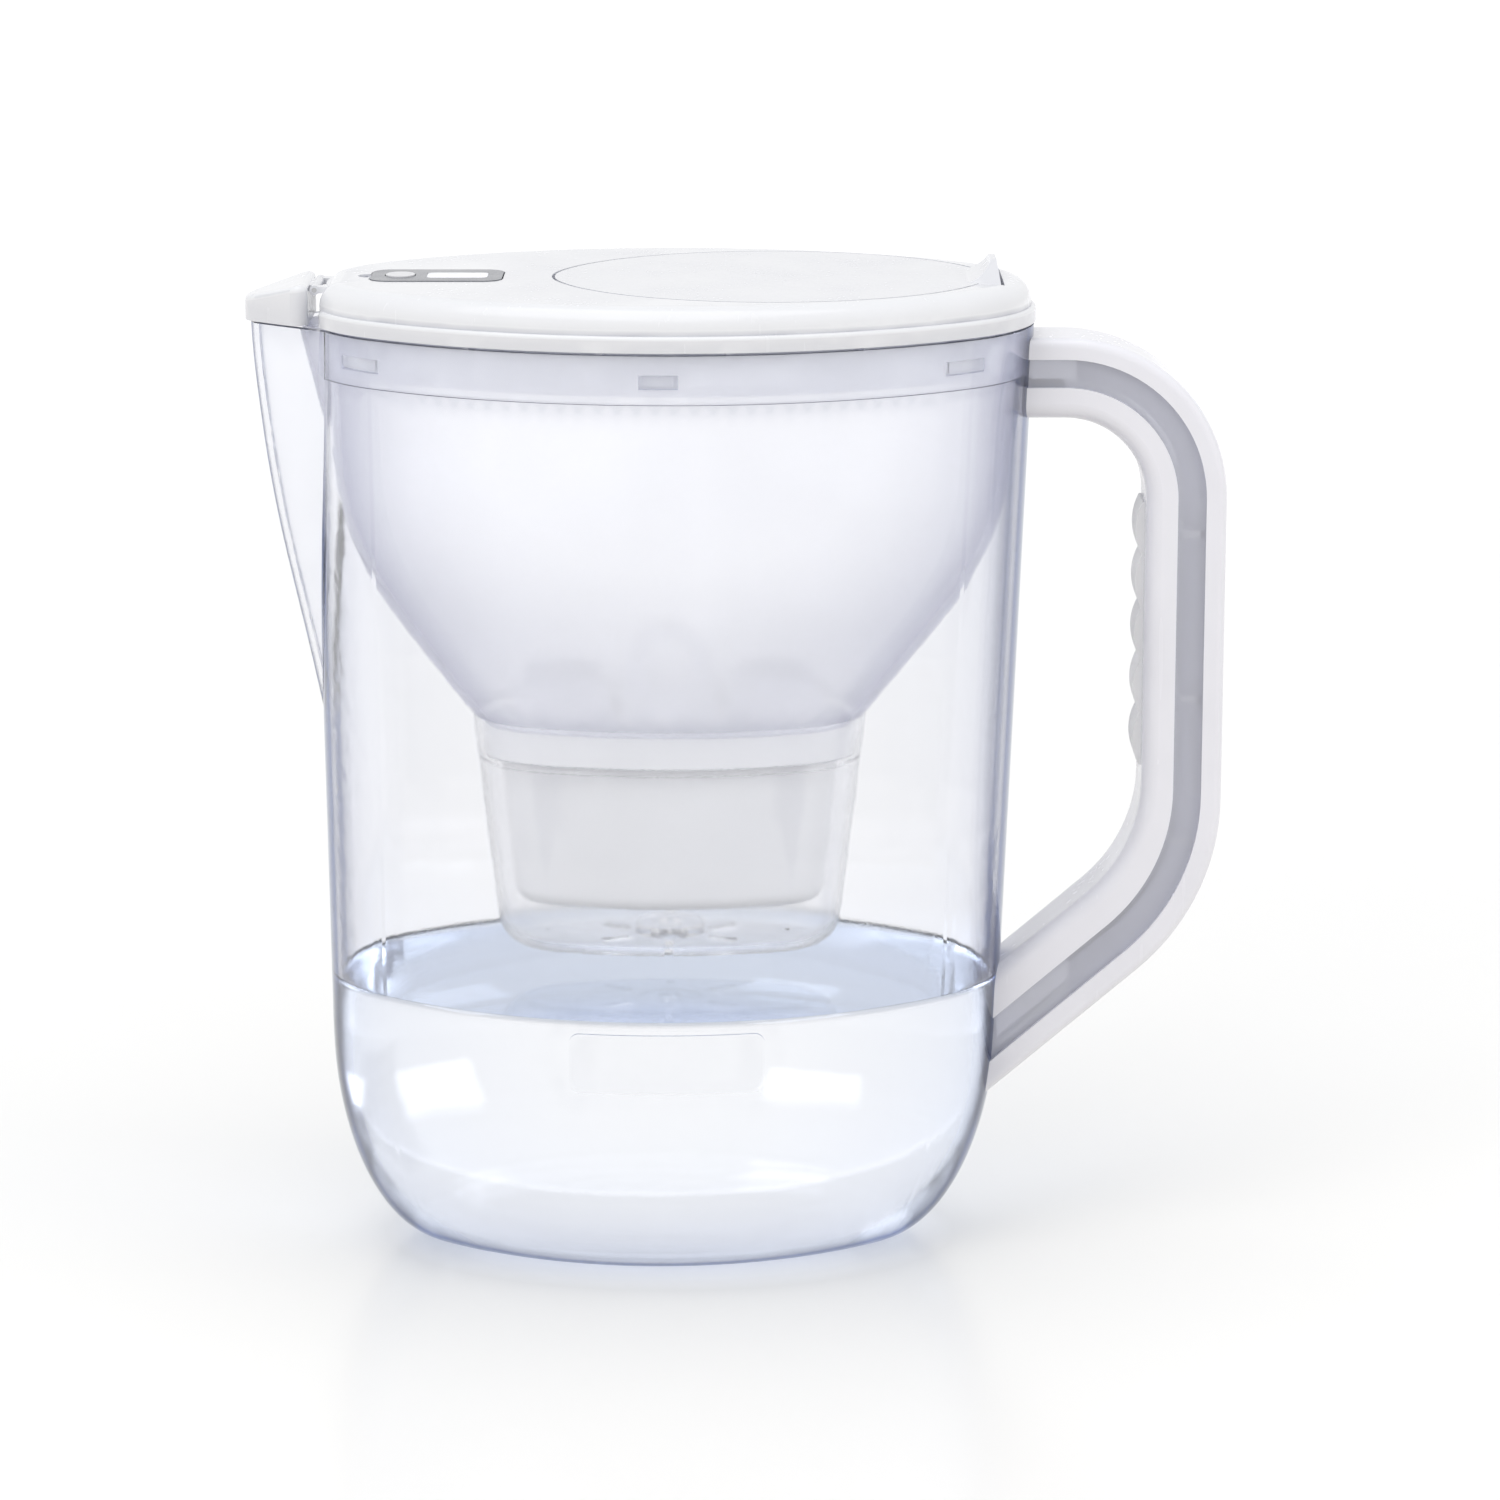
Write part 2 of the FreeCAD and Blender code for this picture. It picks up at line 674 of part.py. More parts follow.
def make_cartridge_filling():
    """The two screens and the bed between them."""
    floor_z = cup_floor_z + cup_floor
    bed_z = floor_z + screen_thickness
    inset = cup_wall + bed_gap
    corner = cup_foot_round
    return {
        "outlet_screen": cup_solid(inset + corner, floor_z, bed_z),
        "filter_bed": cup_solid(inset + corner, bed_z, rim_top_z - bed_headroom),
        "inlet_screen": cup_solid(inset, rim_top_z - screen_thickness, rim_top_z),
    }


def lid_oval(z, inset):
    """Section of the jug's mouth at height z, moved in by inset."""
    return oval(mouth_shift, mouth_half_length - inset, mouth_half_depth - inset,
                oval_end_share * mouth_half_depth - inset, z)


def lid_block(inset, end_inset, z0, z1, corner):
    """Upright oval block with a flat end at the beak and rounded corners there."""
    end_x = end_inset - lid_end_reach
    block = prism(lid_oval(z0, inset), z1 - z0)
    block = block.cut(box(end_x - mouth_half_length, end_x, -mouth_half_depth, mouth_half_depth,
                          z0 - overrun, z1 + overrun))
    return block.makeFillet(corner, upright_edges(block, end_x))


def flap_oval(z, outset):
    """The flap's plan at height z, moved out by outset."""
    return oval(flap_middle, flap_half_length + outset, flap_half_depth + outset,
                flap_end_share * flap_half_depth + outset, z)


def flap_ledge():
    """Ledge round the handle end of the flap's opening, on which the flap rests."""
    top_z = lid_top_z - flap_thickness - seat_gap
    foot_z = top_z - ledge_thickness
    ring = prism(flap_oval(foot_z, flap_gap + ledge_lap), ledge_thickness)
    ring = ring.cut(prism(flap_oval(foot_z, -ledge_width), ledge_thickness))
    end_x = flap_end_x + overrun
    return ring.common(box(ledge_start, end_x, -mouth_half_depth, mouth_half_depth, foot_z, top_z))


def hinge_lugs():
    """Two lugs under the lid that hold the flap's pin."""
    lugs = []
    for side in (-1, 1):
        inner = side * (neck_width / 2 + lug_gap)
        y0, y1 = sorted((inner, inner + side * lug_thickness))
        eye = cylinder_y(hinge_x, hinge_z, hinge_boss_radius, y0, y1)
        web = box(hinge_x - hinge_boss_radius, hinge_x + hinge_boss_radius, y0, y1, hinge_z,
                  lid_top_z - lid_skin + lap)
        lugs.append(fuse(eye, web))
    return lugs


def cover_lugs():
    """Two eyes on the lid's flat end that hold the cover's pin."""
    lugs = []
    for side in (-1, 1):
        inner = side * (cover_knuckle_width / 2 + lug_gap)
        y0, y1 = sorted((inner, inner + side * cover_lug_width))
        eye = cylinder_y(cover_pin_x, cover_pin_z, cover_knuckle_radius, y0, y1)
        web = box(cover_pin_x, lid_edge_round - lid_end_reach, y0, y1, cover_pin_z - cover_web / 2,
                  cover_pin_z + cover_web / 2)
        lugs.append(fuse(eye, web))
    return lugs


def lid_skirt():
    """Ring that goes down inside the funnel's band, with seat ribs and snap tongues."""
    foot_z = jug_height - skirt_drop
    head_z = lid_top_z - lid_skin + lap
    ring = jug_solid(skirt_outer_inset, foot_z, head_z).cut(jug_solid(skirt_inner_inset, foot_z, head_z))
    into_skirt = skirt_outer_inset + skirt_wall / 2
    rib_z = lid_top_z - lid_edge_round
    space = jug_solid(seat_rib_inset, jug_height, rib_z).cut(jug_solid(into_skirt, jug_height, rib_z))
    rib = box(0, 2 * mouth_half_length, -seat_rib_width / 2, seat_rib_width / 2, jug_height, rib_z)
    ribs = [one.common(space) for one in around(rib, seat_rib_count, 180.0 / seat_rib_count)]
    proud_inset = skirt_outer_inset - tongue_proud
    sleeve = jug_solid(proud_inset, foot_z, jug_height).cut(jug_solid(into_skirt, foot_z, jug_height))
    tongues = [sleeve.common(one) for one in band_windows(tongue_length, tongue_height)]
    return fuse(ring, *(ribs + tongues))


def tab_notch(outset):
    """Opening in the lid's edge in which the flap's tongue hangs."""
    foot_z = lid_top_z - flap_thickness - seat_gap - ledge_thickness - running_gap
    half = tab_foot_width / 2 + outset
    start_x = tab_end_x - tab_tongue_length - outset
    return box(start_x, tab_end_x + outset, -half, half, foot_z, lid_top_z + overrun)


def make_lid():
    """White lid: rounded top with a lip, skirt, flap opening, meter pocket and hinge lugs."""
    top = lid_block(lid_dome_inset, 0.0, lid_rim_z, lid_top_z, lid_end_round)
    top = top.makeFillet(lid_edge_round, edges_at(top, lid_top_z))
    lip_z = lid_rim_z + lid_lip_height
    lip = lid_block(-lid_lip, 0.0, lid_rim_z, lip_z, lid_end_round)
    lip = lip.makeFillet(lid_lip_round, edges_at(lip, lip_z))
    hollow_z = lid_top_z - lid_skin
    hollow = lid_block(lid_dome_inset + lid_wall, lid_wall, lid_rim_z - overrun, hollow_z,
                       lid_end_round - lid_wall)
    hollow = hollow.makeFillet(lid_inner_round, edges_at(hollow, hollow_z))
    shell = fuse(fuse(top, lip).cut(hollow), lid_skirt(), *hinge_lugs())
    opening = prism(flap_oval(hollow_z - overrun, flap_gap), lid_skin + 2 * overrun)
    shell = fuse(shell.cut(opening), flap_ledge(), *cover_lugs())
    cuts = [tab_notch(flap_gap), meter_pocket(), meter_shaft(), pry_notch()]
    return shell.cut(cuts + pin_bores(pin_seat_gap))


def pin_bores(gap):
    """Bores for the two hinge pins."""
    flap_reach = neck_width / 2 + lug_gap + lug_thickness
    cover_reach = cover_knuckle_width / 2 + lug_gap + cover_lug_width
    return [cylinder_y(hinge_x, hinge_z, hinge_pin_radius + gap, -flap_reach - gap, flap_reach + gap),
            cylinder_y(cover_pin_x, cover_pin_z, cover_pin_radius + gap,
                       -cover_reach - gap, cover_reach + gap)]


def make_pins():
    """The flap's and the cover's hinge pins."""
    flap_pin, cover_pin = pin_bores(0.0)
    return {"flap_pin": flap_pin, "cover_pin": cover_pin}


def flap_neck():
    """Gooseneck arm: an arc round the pin from the flap to below it, then up to the pin's boss."""
    half = neck_width / 2
    outer_radius = neck_inner_radius + neck_thickness
    tube = cylinder_y(hinge_x, hinge_z, outer_radius, -half, half)
    tube = tube.cut(cylinder_y(hinge_x, hinge_z, neck_inner_radius, -half, half))
    under_z = lid_top_z - flap_thickness
    spoke_half = neck_thickness / 2
    arc = tube.common(box(hinge_x - spoke_half, hinge_x + 2 * outer_radius, -half, half,
                          hinge_z - 2 * outer_radius, under_z + flap_thickness / 2))
    spoke = box(hinge_x - spoke_half, hinge_x + spoke_half, -half, half,
                hinge_z - neck_inner_radius - spoke_half, hinge_z)
    boss = cylinder_y(hinge_x, hinge_z, hinge_boss_radius, -half, half)
    return fuse(arc, spoke, boss)


def thumb_tab():
    """Fin with a hollow face on the flap's handle end, and its tongue in the lid's notch."""
    start_x = tab_end_x - tab_length
    crest_x = tab_end_x - tab_lean - tab_crest
    crest_z = lid_top_z + tab_rise
    tongue_x = tab_end_x - tab_tongue_length
    tongue_z = lid_top_z - tab_drop
    under_z = lid_top_z - flap_thickness
    foot = V(start_x, 0, lid_top_z)
    hollow = V(mix(start_x, crest_x, 2 / 3), 0, mix(lid_top_z, crest_z, tab_hollow_share))
    corners = [V(x, 0, z) for x, z in (
        (crest_x, crest_z), (crest_x + tab_crest, crest_z), (tab_end_x, lid_top_z), (tab_end_x, tongue_z),
        (tongue_x, tongue_z), (tongue_x, under_z), (start_x, under_z))] + [foot]
    face = [Part.Arc(foot, hollow, corners[0]).toShape()]
    face += [Part.LineSegment(a, b).toShape() for a, b in zip(corners, corners[1:])]
    side = plate_xz(Part.Wire(face), -tab_foot_width / 2, tab_foot_width / 2)
    half_foot = tab_foot_width / 2
    half_top = tab_top_width / 2
    outline = [V(start_x, y, z) for y, z in (
        (-half_foot, tongue_z), (half_foot, tongue_z), (half_foot, under_z), (half_top, crest_z),
        (-half_top, crest_z), (-half_foot, under_z))]
    radii = [tab_top_round, tab_top_round, 0] * 2
    wire = rounded_wire(outline, radii, closed=True)
    return side.common(Part.Face(wire).extrude(V(tab_length, 0, 0)))


def make_flap():
    """Fill flap: flush oval plate with a stiffening rib, the thumb tab and the gooseneck."""
    plate = prism(flap_oval(lid_top_z - flap_thickness, 0.0), flap_thickness)
    rib_z = lid_top_z - flap_thickness - flap_rib_height
    rib = prism(flap_oval(rib_z, -flap_rib_inset), flap_rib_height)
    rib = rib.cut(prism(flap_oval(rib_z, -flap_rib_inset - flap_rib_width), flap_rib_height))
    flap = fuse(plate, rib, flap_neck(), thumb_tab())
    bore = cylinder_y(hinge_x, hinge_z, hinge_pin_radius + running_gap, -neck_width, neck_width)
    return flap.cut(bore)


def cover_slope(drop):
    """Block over the cover's sloping top, moved down by drop."""
    tip_x = -beak_reach - cover_overhang
    fall = cover_tip_drop / (cover_end_x - tip_x)
    far_x = tip_x - overrun
    near_x = cover_end_x + overrun
    high_z = lid_top_z + lid_height
    corners = ((near_x, lid_top_z - drop + fall * overrun), (near_x, high_z), (far_x, high_z),
               (far_x, lid_top_z - drop - fall * (cover_end_x - far_x)))
    wire = Part.makePolygon([V(x, 0, z) for x, z in corners + corners[:1]])
    return plate_xz(wire, -mouth_half_depth, mouth_half_depth)


def make_cover():
    """Beak cover: hollow V-shaped cap with a sloping top and a hinge knuckle."""
    block = prism(beak_section(beak_reach, lid_rim_z, -cover_overhang, cover_end_x), lid_height + lap)
    block = block.makeFillet(cover_corner, upright_edges(block, cover_end_x))
    block = block.cut(cover_slope(0.0))
    top = max(block.Faces, key=lambda face: face.CenterOfMass.z)
    block = block.makeFillet(cover_round, top.Edges)
    inner = beak_section(beak_reach, lid_rim_z, cover_skin - cover_overhang, cover_end_x - cover_skin)
    inner = prism(inner, lid_height).cut(cover_slope(cover_skin))
    half = cover_knuckle_width / 2
    knuckle = cylinder_y(cover_pin_x, cover_pin_z, cover_knuckle_radius, -half, half)
    web = box(cover_end_x - cover_skin / 2, cover_pin_x, -half, half, cover_pin_z - cover_web / 2,
              cover_pin_z + cover_web / 2)
    bore = cylinder_y(cover_pin_x, cover_pin_z, cover_pin_radius + running_gap, -2 * half, 2 * half)
    return fuse(block.cut(inner), knuckle, web).cut(bore)


def meter_rectangle(z, inset):
    """The meter's pocket outline, moved in by inset."""
    return rounded_rectangle(meter_middle, 0, meter_length - 2 * inset, meter_depth - 2 * inset,
                             meter_round - inset, z)


def case_rectangle(z, inset):
    """The meter case's outline, moved in by inset."""
    return rounded_rectangle(meter_middle, 0, case_length - 2 * inset, case_depth - 2 * inset,
                             case_round - inset, z)


def meter_pocket():
    """Recess in the lid for the meter's flange."""
    return prism(meter_rectangle(meter_floor_z, 0.0), meter_pocket_depth + overrun)


def meter_shaft():
    """Opening through the lid for the meter's case."""
    depth = lid_skin + overrun
    return prism(meter_rectangle(lid_top_z - depth, meter_ledge), depth)


def pry_notch():
    """Shallow round notch in the lid at the meter's end."""
    return Part.makeCylinder(pry_radius, pry_depth + overrun,
                             V(meter_middle - meter_length / 2, 0, lid_top_z - pry_depth))


def make_case():
    """Meter tray with its flange and four posts for the board."""
    flange = prism(meter_rectangle(flange_z, meter_gap), flange_thickness)
    tray = prism(case_rectangle(case_foot_z, 0.0), meter_case_height)
    floor_z = case_foot_z + meter_case_wall
    hollow = prism(case_rectangle(floor_z, meter_case_wall), meter_case_height)
    side_x = case_length / 2 - meter_case_wall - post_side
    side_y = case_depth / 2 - meter_case_wall - post_side
    posts = []
    for x in (meter_middle - side_x, meter_middle + side_x):
        for y in (-side_y, side_y):
            post = box(x - post_side, x + post_side, y - post_side, y + post_side, case_foot_z, board_foot_z)
            posts.append(post.common(tray))
    return fuse(fuse(flange, tray).cut(hollow), *posts)


def make_gasket():
    """Flat ring between the meter's flange and the lid."""
    ring = prism(meter_rectangle(meter_floor_z, meter_gap), gasket_thickness)
    return ring.cut(prism(case_rectangle(meter_floor_z, 0.0), gasket_thickness))


def button_block(z, outset, height):
    """Block with the reset button's plan, longer across the lid."""
    wire = oval(0, button_length / 2 + outset, button_width / 2 + outset,
                button_end_share * button_width / 2 + outset, z)
    block = prism(wire, height)
    block.rotate(V(0, 0, 0), Z_AXIS, 90)
    block.translate(V(meter_middle + button_middle, 0, 0))
    return block


def pane(z, outset, height):
    """Block with the display window's plan."""
    wire = rounded_rectangle(meter_middle + pane_middle, 0, pane_length + 2 * outset, pane_depth + 2 * outset,
                             pane_round + outset, z)
    return prism(wire, height)


def make_bezel():
    """Meter's top plate with openings for the window and the button."""
    thickness = bezel_top_z - bezel_z
    plate = prism(meter_rectangle(bezel_z, meter_gap), thickness)
    return plate.cut([pane(bezel_z, pane_gap, thickness), button_block(bezel_z, button_gap, thickness)])


def make_meter_inside():
    """Window, display, board, button switch, cell and clip."""
    window = fuse(pane(bezel_z - pane_flange_thickness, 0.0, bezel_top_z - bezel_z + pane_flange_thickness),
                  pane(bezel_z - pane_flange_thickness, pane_flange, pane_flange_thickness))
    lcd_z = bezel_z - pane_flange_thickness - lcd_thickness
    board = prism(case_rectangle(board_foot_z, meter_case_wall + board_gap), board_thickness)
    disc_at = V(meter_middle + button_middle, 0, board_top_z)
    disc = Part.makeCone(dome_disc_radius, dome_disc_radius - dome_disc_chamfer, dome_disc_height, disc_at)
    cell_x = meter_middle + cell_middle
    cell_foot_z = board_foot_z - cell_thickness
    cell = Part.makeCylinder(cell_radius, cell_thickness, V(cell_x, 0, cell_foot_z))
    reach = cell_radius + clip_play + clip_thickness
    half = clip_width / 2
    strap = box(cell_x - reach, cell_x + reach, -half, half, cell_foot_z - clip_thickness, cell_foot_z)
    left = box(cell_x - reach, cell_x - reach + clip_thickness, -half, half, cell_foot_z, board_foot_z)
    right = box(cell_x + reach - clip_thickness, cell_x + reach, -half, half, cell_foot_z, board_foot_z)
    return {"meter_window": window, "lcd_panel": pane(lcd_z, 0.0, lcd_thickness), "meter_board": board,
            "button_dome": disc, "coin_cell": cell, "cell_clip": fuse(strap, left, right)}


def make_button():
    """Reset button: cap in the bezel, a flange under it and a stem over the switch."""
    flange_top_z = bezel_z - running_gap
    flange_foot_z = flange_top_z - button_flange_thickness
    stem_z = board_top_z + dome_disc_height + button_travel + running_gap
    cap = button_block(flange_foot_z, 0.0, bezel_top_z + button_proud - flange_foot_z)
    flange = button_block(flange_foot_z, button_flange, button_flange_thickness)
    stem = Part.makeCylinder(button_stem_radius, flange_foot_z - stem_z + running_gap,
                             V(meter_middle + button_middle, 0, stem_z))
    return fuse(cap, flange, stem)


def handle_line(offset):
    """Points and radii of the handle's path, moved in from its outside by offset."""
    slope = math.radians(handle_slope)
    top_z = handle_top_z - offset
    back_x = handle_back_x - offset
    lift = handle_arm_share * offset / math.cos(slope)
    bend_z = handle_bend_z + lift - offset * math.tan(slope)
    run = back_x - handle_root_x
    points = [V(handle_root_x, 0, top_z), V(back_x, 0, top_z), V(back_x, 0, bend_z),
              V(handle_root_x, 0, bend_z - run * math.tan(slope))]
    return points, [0, handle_upper_radius - offset, handle_lower_radius - offset, 0]


def handle_layer(near, far, depth):
    """Layer of the handle between two offsets from its outside."""
    outer = rounded_wire(*handle_line(near))
    inner = rounded_wire(*handle_line(far))
    near_points, far_points = handle_line(near)[0], handle_line(far)[0]
    ends = [Part.LineSegment(near_points[i], far_points[i]).toShape() for i in (0, -1)]
    return plate_xz(Part.Wire(Part.__sortEdges__(outer.Edges + inner.Edges + ends)), -depth / 2, depth / 2)


def long_edges(layer, offset, depth):
    """Edges of a handle layer that run along the path at one offset, on both sides."""
    line = rounded_wire(*handle_line(offset))
    found = []
    for edge in layer.Edges:
        side_y = abs(edge.CenterOfMass.y)
        at_side = edge.BoundBox.YLength < same_place and abs(side_y - depth / 2) < same_place
        middle = edge.valueAt((edge.FirstParameter + edge.LastParameter) / 2)
        if at_side and line.distToShape(Part.Vertex(V(middle.x, 0, middle.z)))[0] < same_place:
            found.append(edge)
    return found


def core_channel():
    """Hollows in the handle's core between its cross ribs, open towards the strap."""
    near = strap_thickness / 2
    far = strap_thickness + core_thickness - core_back_wall
    channel = handle_layer(near, far, core_depth - 2 * core_side_wall)
    reach = handle_back_x + overrun
    channel = channel.common(box(core_root_x, reach, -core_depth, core_depth, 0, jug_height))
    ribs = [box(core_root_x, reach, -core_depth, core_depth, z - core_rib / 2, z + core_rib / 2)
            for z in core_rib_places]
    return channel.cut(ribs)


def finger_strip():
    """Waved strip on the grip's inside."""
    valley_x = grip_face_x - finger_base
    peak_x = valley_x - finger_wave
    edges = []
    for i in range(finger_count):
        z = finger_top_z - i * finger_pitch
        edges.append(Part.Arc(V(valley_x, 0, z), V(peak_x, 0, z - finger_pitch / 2),
                              V(valley_x, 0, z - finger_pitch)).toShape())
    foot_z = finger_top_z - finger_count * finger_pitch
    corners = (V(valley_x, 0, foot_z), V(grip_face_x, 0, foot_z), V(grip_face_x, 0, finger_top_z),
               V(valley_x, 0, finger_top_z))
    edges += [Part.LineSegment(a, b).toShape() for a, b in zip(corners, corners[1:])]
    return plate_xz(Part.Wire(edges), -finger_depth / 2, finger_depth / 2)


def make_handle():
    """The handle's layers, trimmed to the jug's outside."""
    jug = jug_blank(0.0, 0.0)
    core_far = strap_thickness + core_thickness
    strap = handle_layer(0.0, strap_thickness, handle_depth)
    strap = strap.makeFillet(strap_round, long_edges(strap, 0.0, handle_depth))
    grip = handle_layer(core_far, handle_face, handle_depth)
    grip = grip.makeFillet(grip_round, long_edges(grip, handle_face, handle_depth))
    core = handle_layer(strap_thickness, core_far, core_depth).cut(core_channel())
    layers = {"handle_strap": strap, "handle_core": core, "handle_grip": grip}
    trimmed = {node: shape.cut(jug) for node, shape in layers.items()}
    trimmed["finger_insert"] = finger_strip()
    return trimmed


def build():
    """All the pieces by node name."""
    pieces = {"jug_body": make_jug(), "funnel": make_funnel(), "cartridge_chamber": make_chamber(),
              "cartridge_cup": make_cup(), "cartridge_cap": make_cap()}
    pieces.update(make_cartridge_filling())
    pieces.update({"lid_shell": make_lid(), "fill_flap": make_flap(), "beak_cover": make_cover()})
    pieces.update(make_pins())
    pieces.update({"meter_case": make_case(), "meter_gasket": make_gasket(), "meter_bezel": make_bezel(),
                   "reset_button": make_button()})
    pieces.update(make_meter_inside())
    pieces.update(make_handle())
    return pieces


def main():
    """Writes one STEP file for each piece."""
    os.makedirs("parts", exist_ok=True)
    for node, shape in build().items():
        solid = shape.Solids[0] if len(shape.Solids) == 1 else shape
        print(node, "solids", len(shape.Solids), "valid", shape.isValid(), "volume", round(shape.Volume))
        solid.exportStep(os.path.join("parts", node + ".step"))


main()
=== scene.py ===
import logging
import math
from dataclasses import dataclass
from enum import Enum
from typing import Callable

import bmesh
import bpy
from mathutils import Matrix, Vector


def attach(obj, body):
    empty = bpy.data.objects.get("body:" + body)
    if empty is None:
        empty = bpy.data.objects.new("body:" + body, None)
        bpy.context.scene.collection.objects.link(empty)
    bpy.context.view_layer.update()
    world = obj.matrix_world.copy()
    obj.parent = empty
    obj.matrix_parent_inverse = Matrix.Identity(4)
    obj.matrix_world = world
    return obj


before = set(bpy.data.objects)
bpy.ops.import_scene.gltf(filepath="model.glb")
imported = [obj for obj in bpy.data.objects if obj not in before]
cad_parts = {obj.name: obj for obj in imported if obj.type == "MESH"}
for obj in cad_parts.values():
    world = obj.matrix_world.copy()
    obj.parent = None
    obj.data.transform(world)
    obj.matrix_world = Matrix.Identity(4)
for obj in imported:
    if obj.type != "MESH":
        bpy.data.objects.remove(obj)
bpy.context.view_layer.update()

# Looks of a water filter pitcher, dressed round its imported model.
# Metres, +Z up, the spout points to -X and the handle to +X.

LOG = logging.getLogger("pitcher")
WAVE_NODE_REPEATS = 20.0
Colour = tuple[float, float, float]
Socket = bpy.types.NodeSocket
Node = bpy.types.Node


class Polish(Enum):
    """How far a moulding is polished: its lowest and highest roughness."""

    MIRROR = (0.015, 0.05)
    GLOSS = (0.16, 0.27)
    SATIN = (0.30, 0.42)
    MATT = (0.48, 0.62)
    FROST = (0.10, 0.17)


class Coat(Enum):
    """Clear skin over a moulding, as its coat weight."""

    NONE = 0.0
    THIN = 0.25


class NodeSheet:
    """A node tree with short calls to add and join nodes."""

    def __init__(self, tree: bpy.types.NodeTree) -> None:
        """Takes the tree that the nodes go into."""
        self.tree = tree

    def add(self, kind: str, **settings: object) -> Node:
        """Adds one node.

        Args:
            kind: the node's type name, without its ShaderNode prefix.
            settings: attributes of the node, such as its operation.

        Returns:
            The new node.
        """
        node = self.tree.nodes.new("ShaderNode" + kind)
        for name, value in settings.items():
            setattr(node, name, value)
        return node

    def join(self, source: Socket, target: Socket) -> None:
        """Links one socket to another."""
        self.tree.links.new(source, target)

    def maths(self, operation: str, first: Socket | float, second: Socket | float) -> Socket:
        """Joins two values by a sum.

        Args:
            operation: the Math node's operation.
            first: a socket or a number.
            second: a socket or a number.

        Returns:
            The result's socket.
        """
        node = self.add("Math", operation=operation)
        for place, value in enumerate((first, second)):
            self.put(value, node.inputs[place])
        return node.outputs[0]

    def put(self, value: Socket | float, target: Socket) -> None:
        """Links a socket, or sets a number."""
        if isinstance(value, Socket):
            self.join(value, target)
        else:
            target.default_value = value

    def spread(self, value: Socket, low: float, high: float, start: float = 0.0, end: float = 1.0) -> Socket:
        """Maps a value from one range to another.

        Args:
            value: the socket that varies.
            low: what start becomes.
            high: what end becomes.
            start: the first value of the old range.
            end: the last value of the old range.

        Returns:
            The mapped value's socket.
        """
        node = self.add("MapRange")
        self.join(value, node.inputs["Value"])
        for name, number in (("From Min", start), ("From Max", end), ("To Min", low), ("To Max", high)):
            node.inputs[name].default_value = number
        return node.outputs[0]

    def blend(self, share: Socket, first: Colour | Socket, second: Colour | Socket) -> Socket:
        """Mixes two colours by a mask.

        Args:
            share: the mask, 0 for the first colour.
            first: a colour or a colour socket.
            second: a colour or a colour socket.

        Returns:
            The mixed colour's socket.
        """
        node = self.add("Mix", data_type="RGBA")
        self.join(share, node.inputs[0])
        for place, colour in ((6, first), (7, second)):
            self.put(colour if isinstance(colour, Socket) else (*colour, 1.0), node.inputs[place])
        return node.outputs[2]

    def noise(self, place: Socket, scale: Socket | float, detail: float) -> Socket:
        """Adds a noise texture.

        Args:
            place: the coordinates.
            scale: repeats in a metre.
            detail: octaves.

        Returns:
            The noise value's socket.
        """
        node = self.add("TexNoise")
        self.join(place, node.inputs["Vector"])
        self.put(scale, node.inputs["Scale"])
        node.inputs["Detail"].default_value = detail
        return node.outputs[0]


